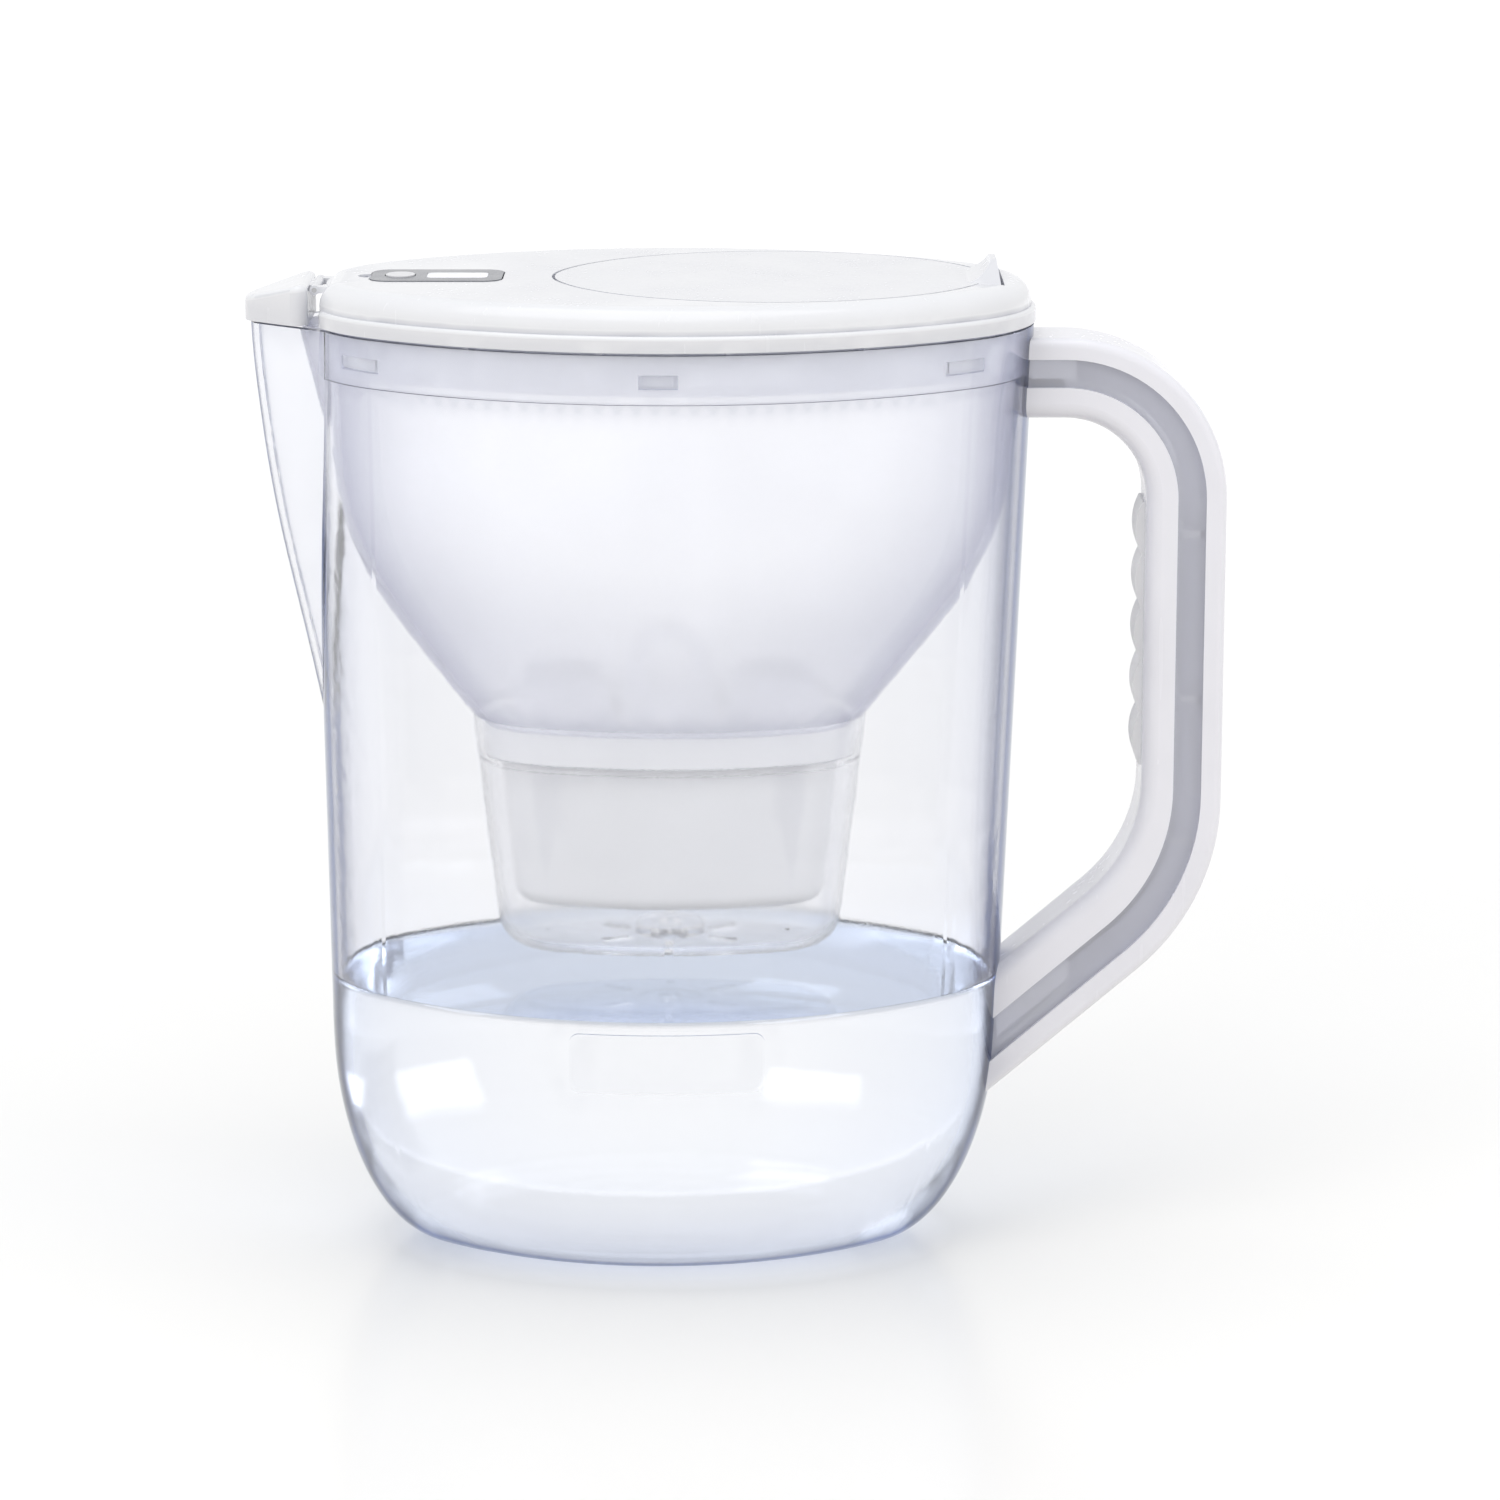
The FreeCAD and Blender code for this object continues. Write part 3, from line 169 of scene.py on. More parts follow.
class SharedEffects:
    """Node groups that several finishes use, each built once."""

    GRAIN_SHARE = 0.35
    GRAIN_DETAIL = 3.0
    WAVE_DETAIL = 2.0
    WAVE_RANGE = (0.32, 0.68)
    WIPE_TURNS = (0.5, -0.9)
    WIPE_LEANS = (1.0, 0.6, 1.7)
    WIPE_STRETCH = (1.0, 1.0, 0.03)
    WIPE_RANGE = (0.62, 0.74)
    FLAT_BEND = 0.5

    def __init__(self) -> None:
        """Builds every group."""
        self.skin = self.group("moulded_skin", self.draw_skin, ("Grain Scale", "Wave Scale"),
                               ("Height", "Shade"))
        self.hairlines = self.group("hairlines", self.draw_hairlines, ("Scale", "Amount"), ("Marks",))
        # The edges group gives the Pointiness masks where finishes paint shade and dark edge lines.
        self.edges = self.group("painted_edge_shade", self.draw_edges, ("Spread",), ("Edge", "Hollow"))

    def group(self, name: str, draw: Callable[[NodeSheet, Node, Node], None], inputs: tuple[str, ...],
              outputs: tuple[str, ...]) -> bpy.types.NodeTree:
        """Makes one node group with named sockets.

        Args:
            name: the group's name.
            draw: the method that fills it.
            inputs: names of its number inputs.
            outputs: names of its number outputs.

        Returns:
            The group's tree.
        """
        tree = bpy.data.node_groups.new(name, "ShaderNodeTree")
        for way, names in (("INPUT", inputs), ("OUTPUT", outputs)):
            for socket in names:
                tree.interface.new_socket(socket, in_out=way, socket_type="NodeSocketFloat")
        source, result = tree.nodes.new("NodeGroupInput"), tree.nodes.new("NodeGroupOutput")
        draw(NodeSheet(tree), source, result)
        return tree

    def draw_skin(self, sheet: NodeSheet, source: Node, result: Node) -> None:
        """Fine grain over a slow wave, as injection moulding leaves it."""
        place = sheet.add("TexCoord").outputs["Object"]
        grain = sheet.noise(place, source.outputs["Grain Scale"], self.GRAIN_DETAIL)
        wave = sheet.noise(place, source.outputs["Wave Scale"], self.WAVE_DETAIL)
        fine = sheet.maths("MULTIPLY", grain, self.GRAIN_SHARE)
        sheet.join(sheet.maths("ADD", fine, wave), result.inputs["Height"])
        sheet.join(sheet.spread(wave, 0.0, 1.0, *self.WAVE_RANGE), result.inputs["Shade"])

    def draw_hairlines(self, sheet: NodeSheet, source: Node, result: Node) -> None:
        """Faint wiping marks, long and thin in two directions."""
        place = sheet.add("TexCoord").outputs["Object"]
        total: Socket | float = 0.0
        for turn in self.WIPE_TURNS:
            mapping = sheet.add("Mapping")
            mapping.inputs["Rotation"].default_value = [turn * lean for lean in self.WIPE_LEANS]
            mapping.inputs["Scale"].default_value = self.WIPE_STRETCH
            sheet.join(place, mapping.inputs["Vector"])
            lines = sheet.noise(mapping.outputs[0], source.outputs["Scale"], self.WAVE_DETAIL)
            total = sheet.maths("ADD", sheet.spread(lines, 0.0, 1.0, *self.WIPE_RANGE), total)
        sheet.join(sheet.maths("MULTIPLY", total, source.outputs["Amount"]), result.inputs["Marks"])

    def draw_edges(self, sheet: NodeSheet, source: Node, result: Node) -> None:
        """Masks of the outer edges and of the inner corners, where the finishes paint shade and dark lines.
        """
        bend = sheet.add("NewGeometry").outputs["Pointiness"]
        for name, sign in (("Edge", "ADD"), ("Hollow", "SUBTRACT")):
            node = sheet.add("MapRange")
            sheet.join(bend, node.inputs["Value"])
            node.inputs["From Min"].default_value = self.FLAT_BEND
            sheet.join(sheet.maths(sign, self.FLAT_BEND, source.outputs["Spread"]), node.inputs["From Max"])
            sheet.join(node.outputs[0], result.inputs[name])


EFFECTS = SharedEffects()


class MaterialSheet(NodeSheet):
    """A material's node tree, with its shader and output."""

    GRAZE_RANGE = (0.45, 0.95)

    def __init__(self, name: str) -> None:
        """Makes an empty material with one Principled shader."""
        self.material = bpy.data.materials.new(name)
        self.material.use_nodes = True
        super().__init__(self.material.node_tree)
        self.shader = self.tree.nodes["Principled BSDF"]
        self.output = self.tree.nodes["Material Output"]

    def set(self, name: str, value: float | Colour | Socket) -> None:
        """Sets or feeds one input of the shader."""
        colour = isinstance(value, tuple)
        self.put((*value, 1.0) if colour else value, self.shader.inputs[name])

    def effect(self, tree: bpy.types.NodeTree, **values: float) -> Node:
        """Places a shared group with its own values.

        Args:
            tree: the group.
            values: its inputs, with underscores for spaces.

        Returns:
            The group's node.
        """
        node = self.add("Group", node_tree=tree)
        for name, value in values.items():
            node.inputs[name.replace("_", " ")].default_value = value
        return node

    def bump(self, height: Socket, depth: float, strength: float = 1.0) -> None:
        """Feeds a height into the shader's normal."""
        node = self.add("Bump")
        node.inputs["Distance"].default_value = depth
        node.inputs["Strength"].default_value = strength
        self.join(height, node.inputs["Height"])
        self.join(node.outputs[0], self.shader.inputs["Normal"])

    def let_lamps_through(self, face: Colour, edge: Colour) -> None:
        """Lets lamp light pass the surface, so that what is inside is lit.

        Args:
            face: what is left of light that meets the surface squarely.
            edge: what is left of light that grazes it.
        """
        clear = self.add("BsdfTransparent")
        lean = self.add("LayerWeight").outputs["Facing"]
        graze = self.spread(lean, 0.0, 1.0, *self.GRAZE_RANGE)
        self.join(self.blend(graze, face, edge), clear.inputs[0])
        mixer = self.add("MixShader")
        self.join(self.add("LightPath").outputs["Is Shadow Ray"], mixer.inputs[0])
        self.join(self.shader.outputs[0], mixer.inputs[1])
        self.join(clear.outputs[0], mixer.inputs[2])
        self.join(mixer.outputs[0], self.output.inputs[0])


@dataclass(frozen=True)
class SolidMoulding:
    """Opaque moulded plastic or rubber."""

    name: str
    pale: Colour
    shade: Colour
    polish: Polish
    grain_scale: float = 2600.0
    wave_scale: float = 45.0
    grain_depth: float = 0.00002
    # The hollow and rim colours paint shade and edge lines; the glow field paints light, as though the piece
    # were lit from within.
    hollow: Colour = (0.55, 0.56, 0.62)
    hollow_share: float = 0.35
    rim: Colour = (0.95, 0.95, 0.96)
    rim_share: float = 0.0
    edge_spread: float = 0.06
    marks: float = 0.06
    mark_scale: float = 500.0
    painted_glow: float = 0.0
    coat: Coat = Coat.NONE
    coat_rough: float = 0.08
    ior: float = 1.5

    def make(self) -> bpy.types.Material:
        """Builds the finish.

        Returns:
            The material.
        """
        sheet = MaterialSheet(self.name)
        skin = sheet.effect(EFFECTS.skin, Grain_Scale=self.grain_scale, Wave_Scale=self.wave_scale)
        lines = sheet.effect(EFFECTS.hairlines, Scale=self.mark_scale, Amount=self.marks)
        edges = sheet.effect(EFFECTS.edges, Spread=self.edge_spread)
        body = sheet.blend(skin.outputs["Shade"], self.pale, self.shade)
        # Painted shade: inner corners and creases, found by Pointiness, blend toward the hollow colour.
        painted_hollow_shade = sheet.maths("MULTIPLY", edges.outputs["Hollow"], self.hollow_share)
        colour = sheet.blend(painted_hollow_shade, body, self.hollow)
        # Painted edge lines: outer edges blend toward the rim colour, a painted highlight when it is pale
        # and painted shade when it is dark.
        if self.rim_share > 0.0:
            rim = sheet.maths("MULTIPLY", edges.outputs["Edge"], self.rim_share)
            colour = sheet.blend(rim, colour, self.rim)
        sheet.set("Base Color", colour)
        # Painted glow: the piece's own colour is given out as light, though it is no lamp.
        if self.painted_glow > 0.0:
            sheet.set("Emission Color", colour)
            sheet.shader.inputs["Emission Strength"].default_value = self.painted_glow
        rough = sheet.spread(skin.outputs["Shade"], *self.polish.value)
        sheet.set("Roughness", sheet.maths("ADD", rough, lines.outputs["Marks"]))
        sheet.bump(skin.outputs["Height"], self.grain_depth)
        sheet.shader.inputs["Coat Weight"].default_value = self.coat.value
        sheet.shader.inputs["Coat Roughness"].default_value = self.coat_rough
        sheet.shader.inputs["IOR"].default_value = self.ior
        return sheet.material


@dataclass(frozen=True)
class ClearMoulding:
    """See-through plastic, darker towards its grazing edges and along edges and corners: painted reflection
    and painted shade over its own faint tint.
    """

    name: str
    # slope and edge are painted reflection of dark surroundings; line_spread and line_share set painted dark
    # lines along edges and corners.
    face: Colour
    slope: Colour
    edge: Colour
    polish: Polish
    shadow: Colour
    ior: float = 1.49
    transmission: float = 1.0
    grain_scale: float = 1800.0
    wave_scale: float = 30.0
    wave_depth: float = 0.00002
    marks: float = 0.03
    mark_scale: float = 420.0
    slope_at: float = 0.62
    edge_at: float = 0.93
    line_spread: float = 0.15
    line_share: float = 0.08
    tint_turns: float = 6.0  # walls that light crosses with the tint, before it is left clear

    def tint_and_painted_edges(self, sheet: MaterialSheet) -> Socket:
        """Mixes the colour from the face to the edge: the faint face colour is the plastic's own tint, the
        darker slope and edge colours are painted reflection of dark surroundings, and edges and corners get
        painted dark lines.

        Args:
            sheet: the material's sheet.

        Returns:
            The colour's socket.
        """
        # Painted reflection: the colour turns darker towards grazing edges, standing in for dark
        # surroundings mirrored there.
        lean = sheet.add("LayerWeight")
        ramp = sheet.add("ValToRGB")
        sheet.join(lean.outputs["Facing"], ramp.inputs[0])
        stops = ramp.color_ramp.elements
        stops.new(self.slope_at)
        places = (0.0, self.slope_at, self.edge_at)
        for stop, place, colour in zip(stops, places, (self.face, self.slope, self.edge)):
            stop.position = place
            stop.color = (*colour, 1.0)
        # Painted shade: dark lines along edges and corners.
        edges = sheet.effect(EFFECTS.edges, Spread=self.line_spread)
        bend = sheet.maths("MAXIMUM", edges.outputs["Edge"], edges.outputs["Hollow"])
        lined = sheet.blend(sheet.maths("MULTIPLY", bend, self.line_share), ramp.outputs[0], self.edge)
        first = sheet.maths("LESS_THAN", sheet.add("LightPath").outputs["Ray Depth"], self.tint_turns)
        return sheet.blend(first, self.face, lined)

    def make(self) -> bpy.types.Material:
        """Builds the finish.

        Returns:
            The material.
        """
        sheet = MaterialSheet(self.name)
        skin = sheet.effect(EFFECTS.skin, Grain_Scale=self.grain_scale, Wave_Scale=self.wave_scale)
        lines = sheet.effect(EFFECTS.hairlines, Scale=self.mark_scale, Amount=self.marks)
        sheet.set("Base Color", self.tint_and_painted_edges(sheet))
        rough = sheet.spread(skin.outputs["Shade"], *self.polish.value)
        sheet.set("Roughness", sheet.maths("ADD", rough, lines.outputs["Marks"]))
        sheet.bump(skin.outputs["Height"], self.wave_depth)
        sheet.shader.inputs["Transmission Weight"].default_value = self.transmission
        sheet.shader.inputs["IOR"].default_value = self.ior
        sheet.let_lamps_through(self.shadow, self.edge)
        return sheet.material


@dataclass(frozen=True)
class MilkyMoulding:
    """Milky plastic that lets light through, with painted shade where it turns away, painted dark lines
    along edges and corners, and a painted glow.
    """

    name: str
    milk: Colour
    side: Colour
    shadow: Colour
    cloud: float = 0.985
    grain_scale: float = 1500.0
    wave_scale: float = 28.0
    grain_depth: float = 0.00003
    edge_spread: float = 0.05
    rough: tuple[float, float] = (0.12, 0.18)
    transmission: float = 0.62
    ior: float = 1.36
    side_from: float = 0.12
    side_full: float = 0.85
    line: Colour = (0.30, 0.32, 0.42)
    line_share: float = 0.22
    painted_glow: float = 0.12

    def make(self) -> bpy.types.Material:
        """Builds the finish.

        Returns:
            The material.
        """
        sheet = MaterialSheet(self.name)
        skin = sheet.effect(EFFECTS.skin, Grain_Scale=self.grain_scale, Wave_Scale=self.wave_scale)
        edges = sheet.effect(EFFECTS.edges, Spread=self.edge_spread)
        # Painted shade: the plastic turns to the side colour where it faces away.
        lean = sheet.add("LayerWeight").outputs["Facing"]
        turned = sheet.spread(lean, 0.0, 1.0, self.side_from, self.side_full)
        clouded = tuple(self.cloud * part for part in self.milk)
        milk = sheet.blend(skin.outputs["Shade"], self.milk, clouded)
        body = sheet.blend(turned, milk, self.side)
        # Painted shade: dark lines along edges and corners.
        bend = sheet.maths("MAXIMUM", edges.outputs["Edge"], edges.outputs["Hollow"])
        colour = sheet.blend(sheet.maths("MULTIPLY", bend, self.line_share), body, self.line)
        sheet.set("Base Color", colour)
        # Painted glow: the colour is given out as light, though the funnel is no lamp.
        sheet.set("Emission Color", colour)
        sheet.shader.inputs["Emission Strength"].default_value = self.painted_glow
        sheet.set("Roughness", sheet.spread(skin.outputs["Shade"], *self.rough))
        sheet.bump(skin.outputs["Height"], self.grain_depth)
        sheet.shader.inputs["Transmission Weight"].default_value = self.transmission
        sheet.shader.inputs["IOR"].default_value = self.ior
        sheet.let_lamps_through(self.shadow, self.side)
        return sheet.material


@dataclass(frozen=True)
class BareMetal:
    """Rolled or drawn metal with fine lines along it."""

    name: str
    pale: Colour
    dark: Colour
    rough: tuple[float, float] = (0.22, 0.38)
    grain_scale: float = 4000.0
    wave_scale: float = 240.0
    grain_depth: float = 0.00001
    mark_scale: float = 2400.0
    marks: float = 0.12

    def make(self) -> bpy.types.Material:
        """Builds the finish.

        Returns:
            The material.
        """
        sheet = MaterialSheet(self.name)
        skin = sheet.effect(EFFECTS.skin, Grain_Scale=self.grain_scale, Wave_Scale=self.wave_scale)
        lines = sheet.effect(EFFECTS.hairlines, Scale=self.mark_scale, Amount=self.marks)
        sheet.set("Base Color", sheet.blend(skin.outputs["Shade"], self.pale, self.dark))
        rough = sheet.spread(skin.outputs["Shade"], *self.rough)
        sheet.set("Roughness", sheet.maths("ADD", rough, lines.outputs["Marks"]))
        sheet.shader.inputs["Metallic"].default_value = 1.0
        sheet.bump(skin.outputs["Height"], self.grain_depth)
        return sheet.material


@dataclass(frozen=True)
class WovenScreen:
    """Fine square mesh cloth, drawn as crossing threads."""

    name: str
    thread: Colour
    gap: Colour
    pitch: float = 0.0006
    thread_range: tuple[float, float] = (0.35, 0.8)
    thread_depth: float = 0.0002
    grain_scale: float = 5000.0
    wave_scale: float = 120.0

    def make(self) -> bpy.types.Material:
        """Builds the finish.

        Returns:
            The material.
        """
        sheet = MaterialSheet(self.name)
        place = sheet.add("TexCoord").outputs["Object"]
        weave: Socket | float = 0.0
        for direction in ("X", "Y"):
            wave = sheet.add("TexWave", bands_direction=direction)
            wave.inputs["Scale"].default_value = 1.0 / (self.pitch * WAVE_NODE_REPEATS)
            sheet.join(place, wave.inputs["Vector"])
            weave = sheet.maths("MAXIMUM", wave.outputs["Fac"], weave)
        skin = sheet.effect(EFFECTS.skin, Grain_Scale=self.grain_scale, Wave_Scale=self.wave_scale)
        share = sheet.spread(weave, 0.0, 1.0, *self.thread_range)
        sheet.set("Base Color", sheet.blend(share, self.gap, self.thread))
        sheet.set("Roughness", sheet.spread(skin.outputs["Shade"], *Polish.MATT.value))
        sheet.bump(weave, self.thread_depth)
        return sheet.material


@dataclass(frozen=True)
class LooseGrains:
    """Bed of filter grains: dark carbon with pale beads among it."""

    name: str
    dark: Colour
    bead: Colour
    grain: float = 0.0011
    grain_depth: float = 0.0006
    bead_range: tuple[float, float] = (0.55, 0.65)
    rough: tuple[float, float] = (0.45, 0.8)

    def make(self) -> bpy.types.Material:
        """Builds the finish.

        Returns:
            The material.
        """
        sheet = MaterialSheet(self.name)
        place = sheet.add("TexCoord").outputs["Object"]
        cells = sheet.add("TexVoronoi")
        cells.inputs["Scale"].default_value = 1.0 / self.grain
        sheet.join(place, cells.inputs["Vector"])
        pick = sheet.add("SeparateColor")
        sheet.join(cells.outputs["Color"], pick.inputs[0])
        pale = sheet.spread(pick.outputs[0], 0.0, 1.0, *self.bead_range)
        sheet.set("Base Color", sheet.blend(pale, self.dark, self.bead))
        sheet.set("Roughness", sheet.spread(pick.outputs[1], *self.rough))
        sheet.bump(sheet.maths("SUBTRACT", 1.0, cells.outputs["Distance"]), self.grain_depth)
        return sheet.material


@dataclass(frozen=True)
class CircuitLaminate:
    """Green board with copper tracks under its lacquer."""

    name: str
    green: Colour = (0.02, 0.16, 0.07)
    track: Colour = (0.05, 0.30, 0.12)
    pitch: float = 0.0016
    pitches_in_repeat: float = 4.0
    gap_share: float = 0.06
    track_depth: float = 0.00004
    grain_scale: float = 6000.0
    wave_scale: float = 300.0

    def make(self) -> bpy.types.Material:
        """Builds the finish.

        Returns:
            The material.
        """
        sheet = MaterialSheet(self.name)
        place = sheet.add("TexCoord").outputs["Object"]
        bricks = sheet.add("TexBrick")
        bricks.inputs["Scale"].default_value = 1.0 / (self.pitch * self.pitches_in_repeat)
        bricks.inputs["Mortar Size"].default_value = self.gap_share
        sheet.join(place, bricks.inputs["Vector"])
        skin = sheet.effect(EFFECTS.skin, Grain_Scale=self.grain_scale, Wave_Scale=self.wave_scale)
        sheet.set("Base Color", sheet.blend(bricks.outputs["Fac"], self.green, self.track))
        sheet.set("Roughness", sheet.spread(skin.outputs["Shade"], *Polish.GLOSS.value))
        sheet.bump(bricks.outputs["Fac"], self.track_depth)
        return sheet.material


class Assembly:
    """A sub-assembly that dresses its nodes and may add pieces of its own."""

    def wear(self, material: bpy.types.Material, *nodes: str) -> None:
        """Puts one material on whole nodes.

        Args:
            material: the finish.
            nodes: the nodes' names.
        """
        for name in nodes:
            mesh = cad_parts[name].data
            mesh.materials.clear()
            mesh.materials.append(material)
            LOG.info("%s wears %s", name, material.name)

    def build(self) -> None:
        """Dresses the sub-assembly."""
        raise NotImplementedError


@dataclass
class JugShape(Assembly):
    """The clear jug."""

    # The slope and edge colours are painted reflection of dark surroundings, navy at grazing edges.
    finish: ClearMoulding = ClearMoulding(
        "clear_plastic", (0.985, 0.987, 0.995), (0.86, 0.872, 0.925), (0.025, 0.04, 0.13), Polish.MIRROR,
        (0.97, 0.975, 0.99), slope_at=0.56, edge_at=0.75, line_share=0.16)

    def build(self) -> None:
        """Dresses the jug."""
        self.wear(self.finish.make(), "jug_body")


@dataclass
class HandleShape(Assembly):
    """The handle's three layers and its finger strip."""

    white: SolidMoulding = SolidMoulding(
        "white_plastic", (0.88, 0.88, 0.94), (0.86, 0.86, 0.92), Polish.GLOSS, grain_depth=0.000008,
        coat=Coat.THIN)
    soft: SolidMoulding = SolidMoulding(
        "soft_plastic", (0.80, 0.805, 0.83), (0.77, 0.775, 0.80), Polish.SATIN, grain_depth=0.00004)
    # The stripe's darker slope and edge colours and its edge lines are painted reflection and painted shade.
    stripe: ClearMoulding = ClearMoulding(
        "tinted_plastic", (0.83, 0.835, 0.90), (0.78, 0.785, 0.87), (0.45, 0.47, 0.60), Polish.FROST,
        (0.80, 0.81, 0.86), transmission=0.45, line_spread=0.10, line_share=0.35)

    def build(self) -> None:
        """Dresses the handle."""
        self.wear(self.white.make(), "handle_grip", "handle_strap")
        self.wear(self.soft.make(), "finger_insert")
        self.wear(self.stripe.make(), "handle_core")


@dataclass
class FunnelShape(Assembly):
    """The milky funnel and the clearer chamber under it."""

    # The milk's side colour is painted shade; the chamber's slope and edge colours are painted reflection.
    milk: MilkyMoulding = MilkyMoulding(
        "milky_plastic", (0.985, 0.985, 0.99), (0.40, 0.41, 0.53), (0.95, 0.95, 0.97))
    chamber: ClearMoulding = ClearMoulding(
        "chamber_plastic", (0.995, 0.996, 1.0), (0.95, 0.955, 0.985), (0.55, 0.58, 0.72), Polish.FROST,
        (0.99, 0.99, 0.995), slope_at=0.70, edge_at=0.97)

    def build(self) -> None:
        """Dresses the funnel."""
        self.wear(self.milk.make(), "funnel")
        self.wear(self.chamber.make(), "cartridge_chamber")


@dataclass
class CartridgeShape(Assembly):
    """The filter cartridge and what it holds."""

    # The shell has a painted glow, so that it shows bright inside the jug.
    shell: SolidMoulding = SolidMoulding(
        "cartridge_plastic", (0.92, 0.922, 0.93), (0.90, 0.902, 0.912), Polish.SATIN, marks=0.03,
        painted_glow=0.12)
    screen: WovenScreen = WovenScreen("screen_mesh", (0.80, 0.80, 0.79), (0.30, 0.31, 0.33))
    grains: LooseGrains = LooseGrains("bed_grains", (0.02, 0.02, 0.022), (0.62, 0.50, 0.30))

    def build(self) -> None:
        """Dresses the cartridge."""
        self.wear(self.shell.make(), "cartridge_cup", "cartridge_cap")
        self.wear(self.screen.make(), "inlet_screen", "outlet_screen")
        self.wear(self.grains.make(), "filter_bed")


@dataclass
class LidShape(Assembly):
    """The lid, its flap, the beak's cover and their pins."""

    # Dark hollow and rim colours: painted shade in the flap's gaps, the creases and along the edges.
    white: SolidMoulding = SolidMoulding(
        "lid_plastic", (0.87, 0.88, 0.91), (0.855, 0.865, 0.895), Polish.GLOSS, hollow=(0.28, 0.29, 0.37),
        hollow_share=0.7, rim=(0.50, 0.51, 0.58), rim_share=0.3, grain_depth=0.000005, coat=Coat.THIN)
    steel: BareMetal = BareMetal("pin_steel", (0.62, 0.62, 0.63), (0.45, 0.45, 0.46))

    def build(self) -> None:
        """Dresses the lid."""
        self.wear(self.white.make(), "lid_shell", "fill_flap", "beak_cover")
        self.wear(self.steel.make(), "flap_pin", "cover_pin")


@dataclass
class IndicatorShape(Assembly):
    """The change indicator in the lid."""

    case: SolidMoulding = SolidMoulding("case_plastic", (0.30, 0.31, 0.33), (0.26, 0.27, 0.29), Polish.SATIN)
    gasket: SolidMoulding = SolidMoulding(
        "gasket_rubber", (0.05, 0.05, 0.06), (0.035, 0.035, 0.04), Polish.MATT)
    # The bezel's dark rim is a painted shade line round it, in place of the shadow of its gap.
    bezel: SolidMoulding = SolidMoulding(
        "bezel_plastic", (0.72, 0.73, 0.76), (0.69, 0.70, 0.73), Polish.GLOSS, hollow_share=0.2,
        rim=(0.10, 0.11, 0.14), rim_share=0.9)
    button: SolidMoulding = SolidMoulding(
        "button_plastic", (0.78, 0.785, 0.81), (0.75, 0.755, 0.78), Polish.SATIN)
    # The window's edge colour is painted reflection.
    window: ClearMoulding = ClearMoulding(
        "window_plastic", (0.99, 0.99, 0.995), (0.96, 0.965, 0.975), (0.60, 0.62, 0.70), Polish.MIRROR,
        (0.995, 0.995, 1.0))
    # The display has a painted glow.
    lcd: SolidMoulding = SolidMoulding(
        "lcd_panel", (0.97, 0.972, 0.975), (0.95, 0.952, 0.955), Polish.SATIN, painted_glow=0.35)
    board: CircuitLaminate = CircuitLaminate("board_laminate")
    steel: BareMetal = BareMetal("cell_steel", (0.70, 0.70, 0.69), (0.55, 0.55, 0.54))
    brass: BareMetal = BareMetal("clip_brass", (0.80, 0.60, 0.28), (0.62, 0.44, 0.18))

    def build(self) -> None:
        """Dresses the indicator."""
        self.wear(self.case.make(), "meter_case")
        self.wear(self.gasket.make(), "meter_gasket")
        self.wear(self.bezel.make(), "meter_bezel")
        self.wear(self.button.make(), "reset_button")
        self.wear(self.window.make(), "meter_window")
        self.wear(self.lcd.make(), "lcd_panel")
        self.wear(self.board.make(), "meter_board")
        self.wear(self.steel.make(), "coin_cell", "button_dome")
        self.wear(self.brass.make(), "cell_clip")


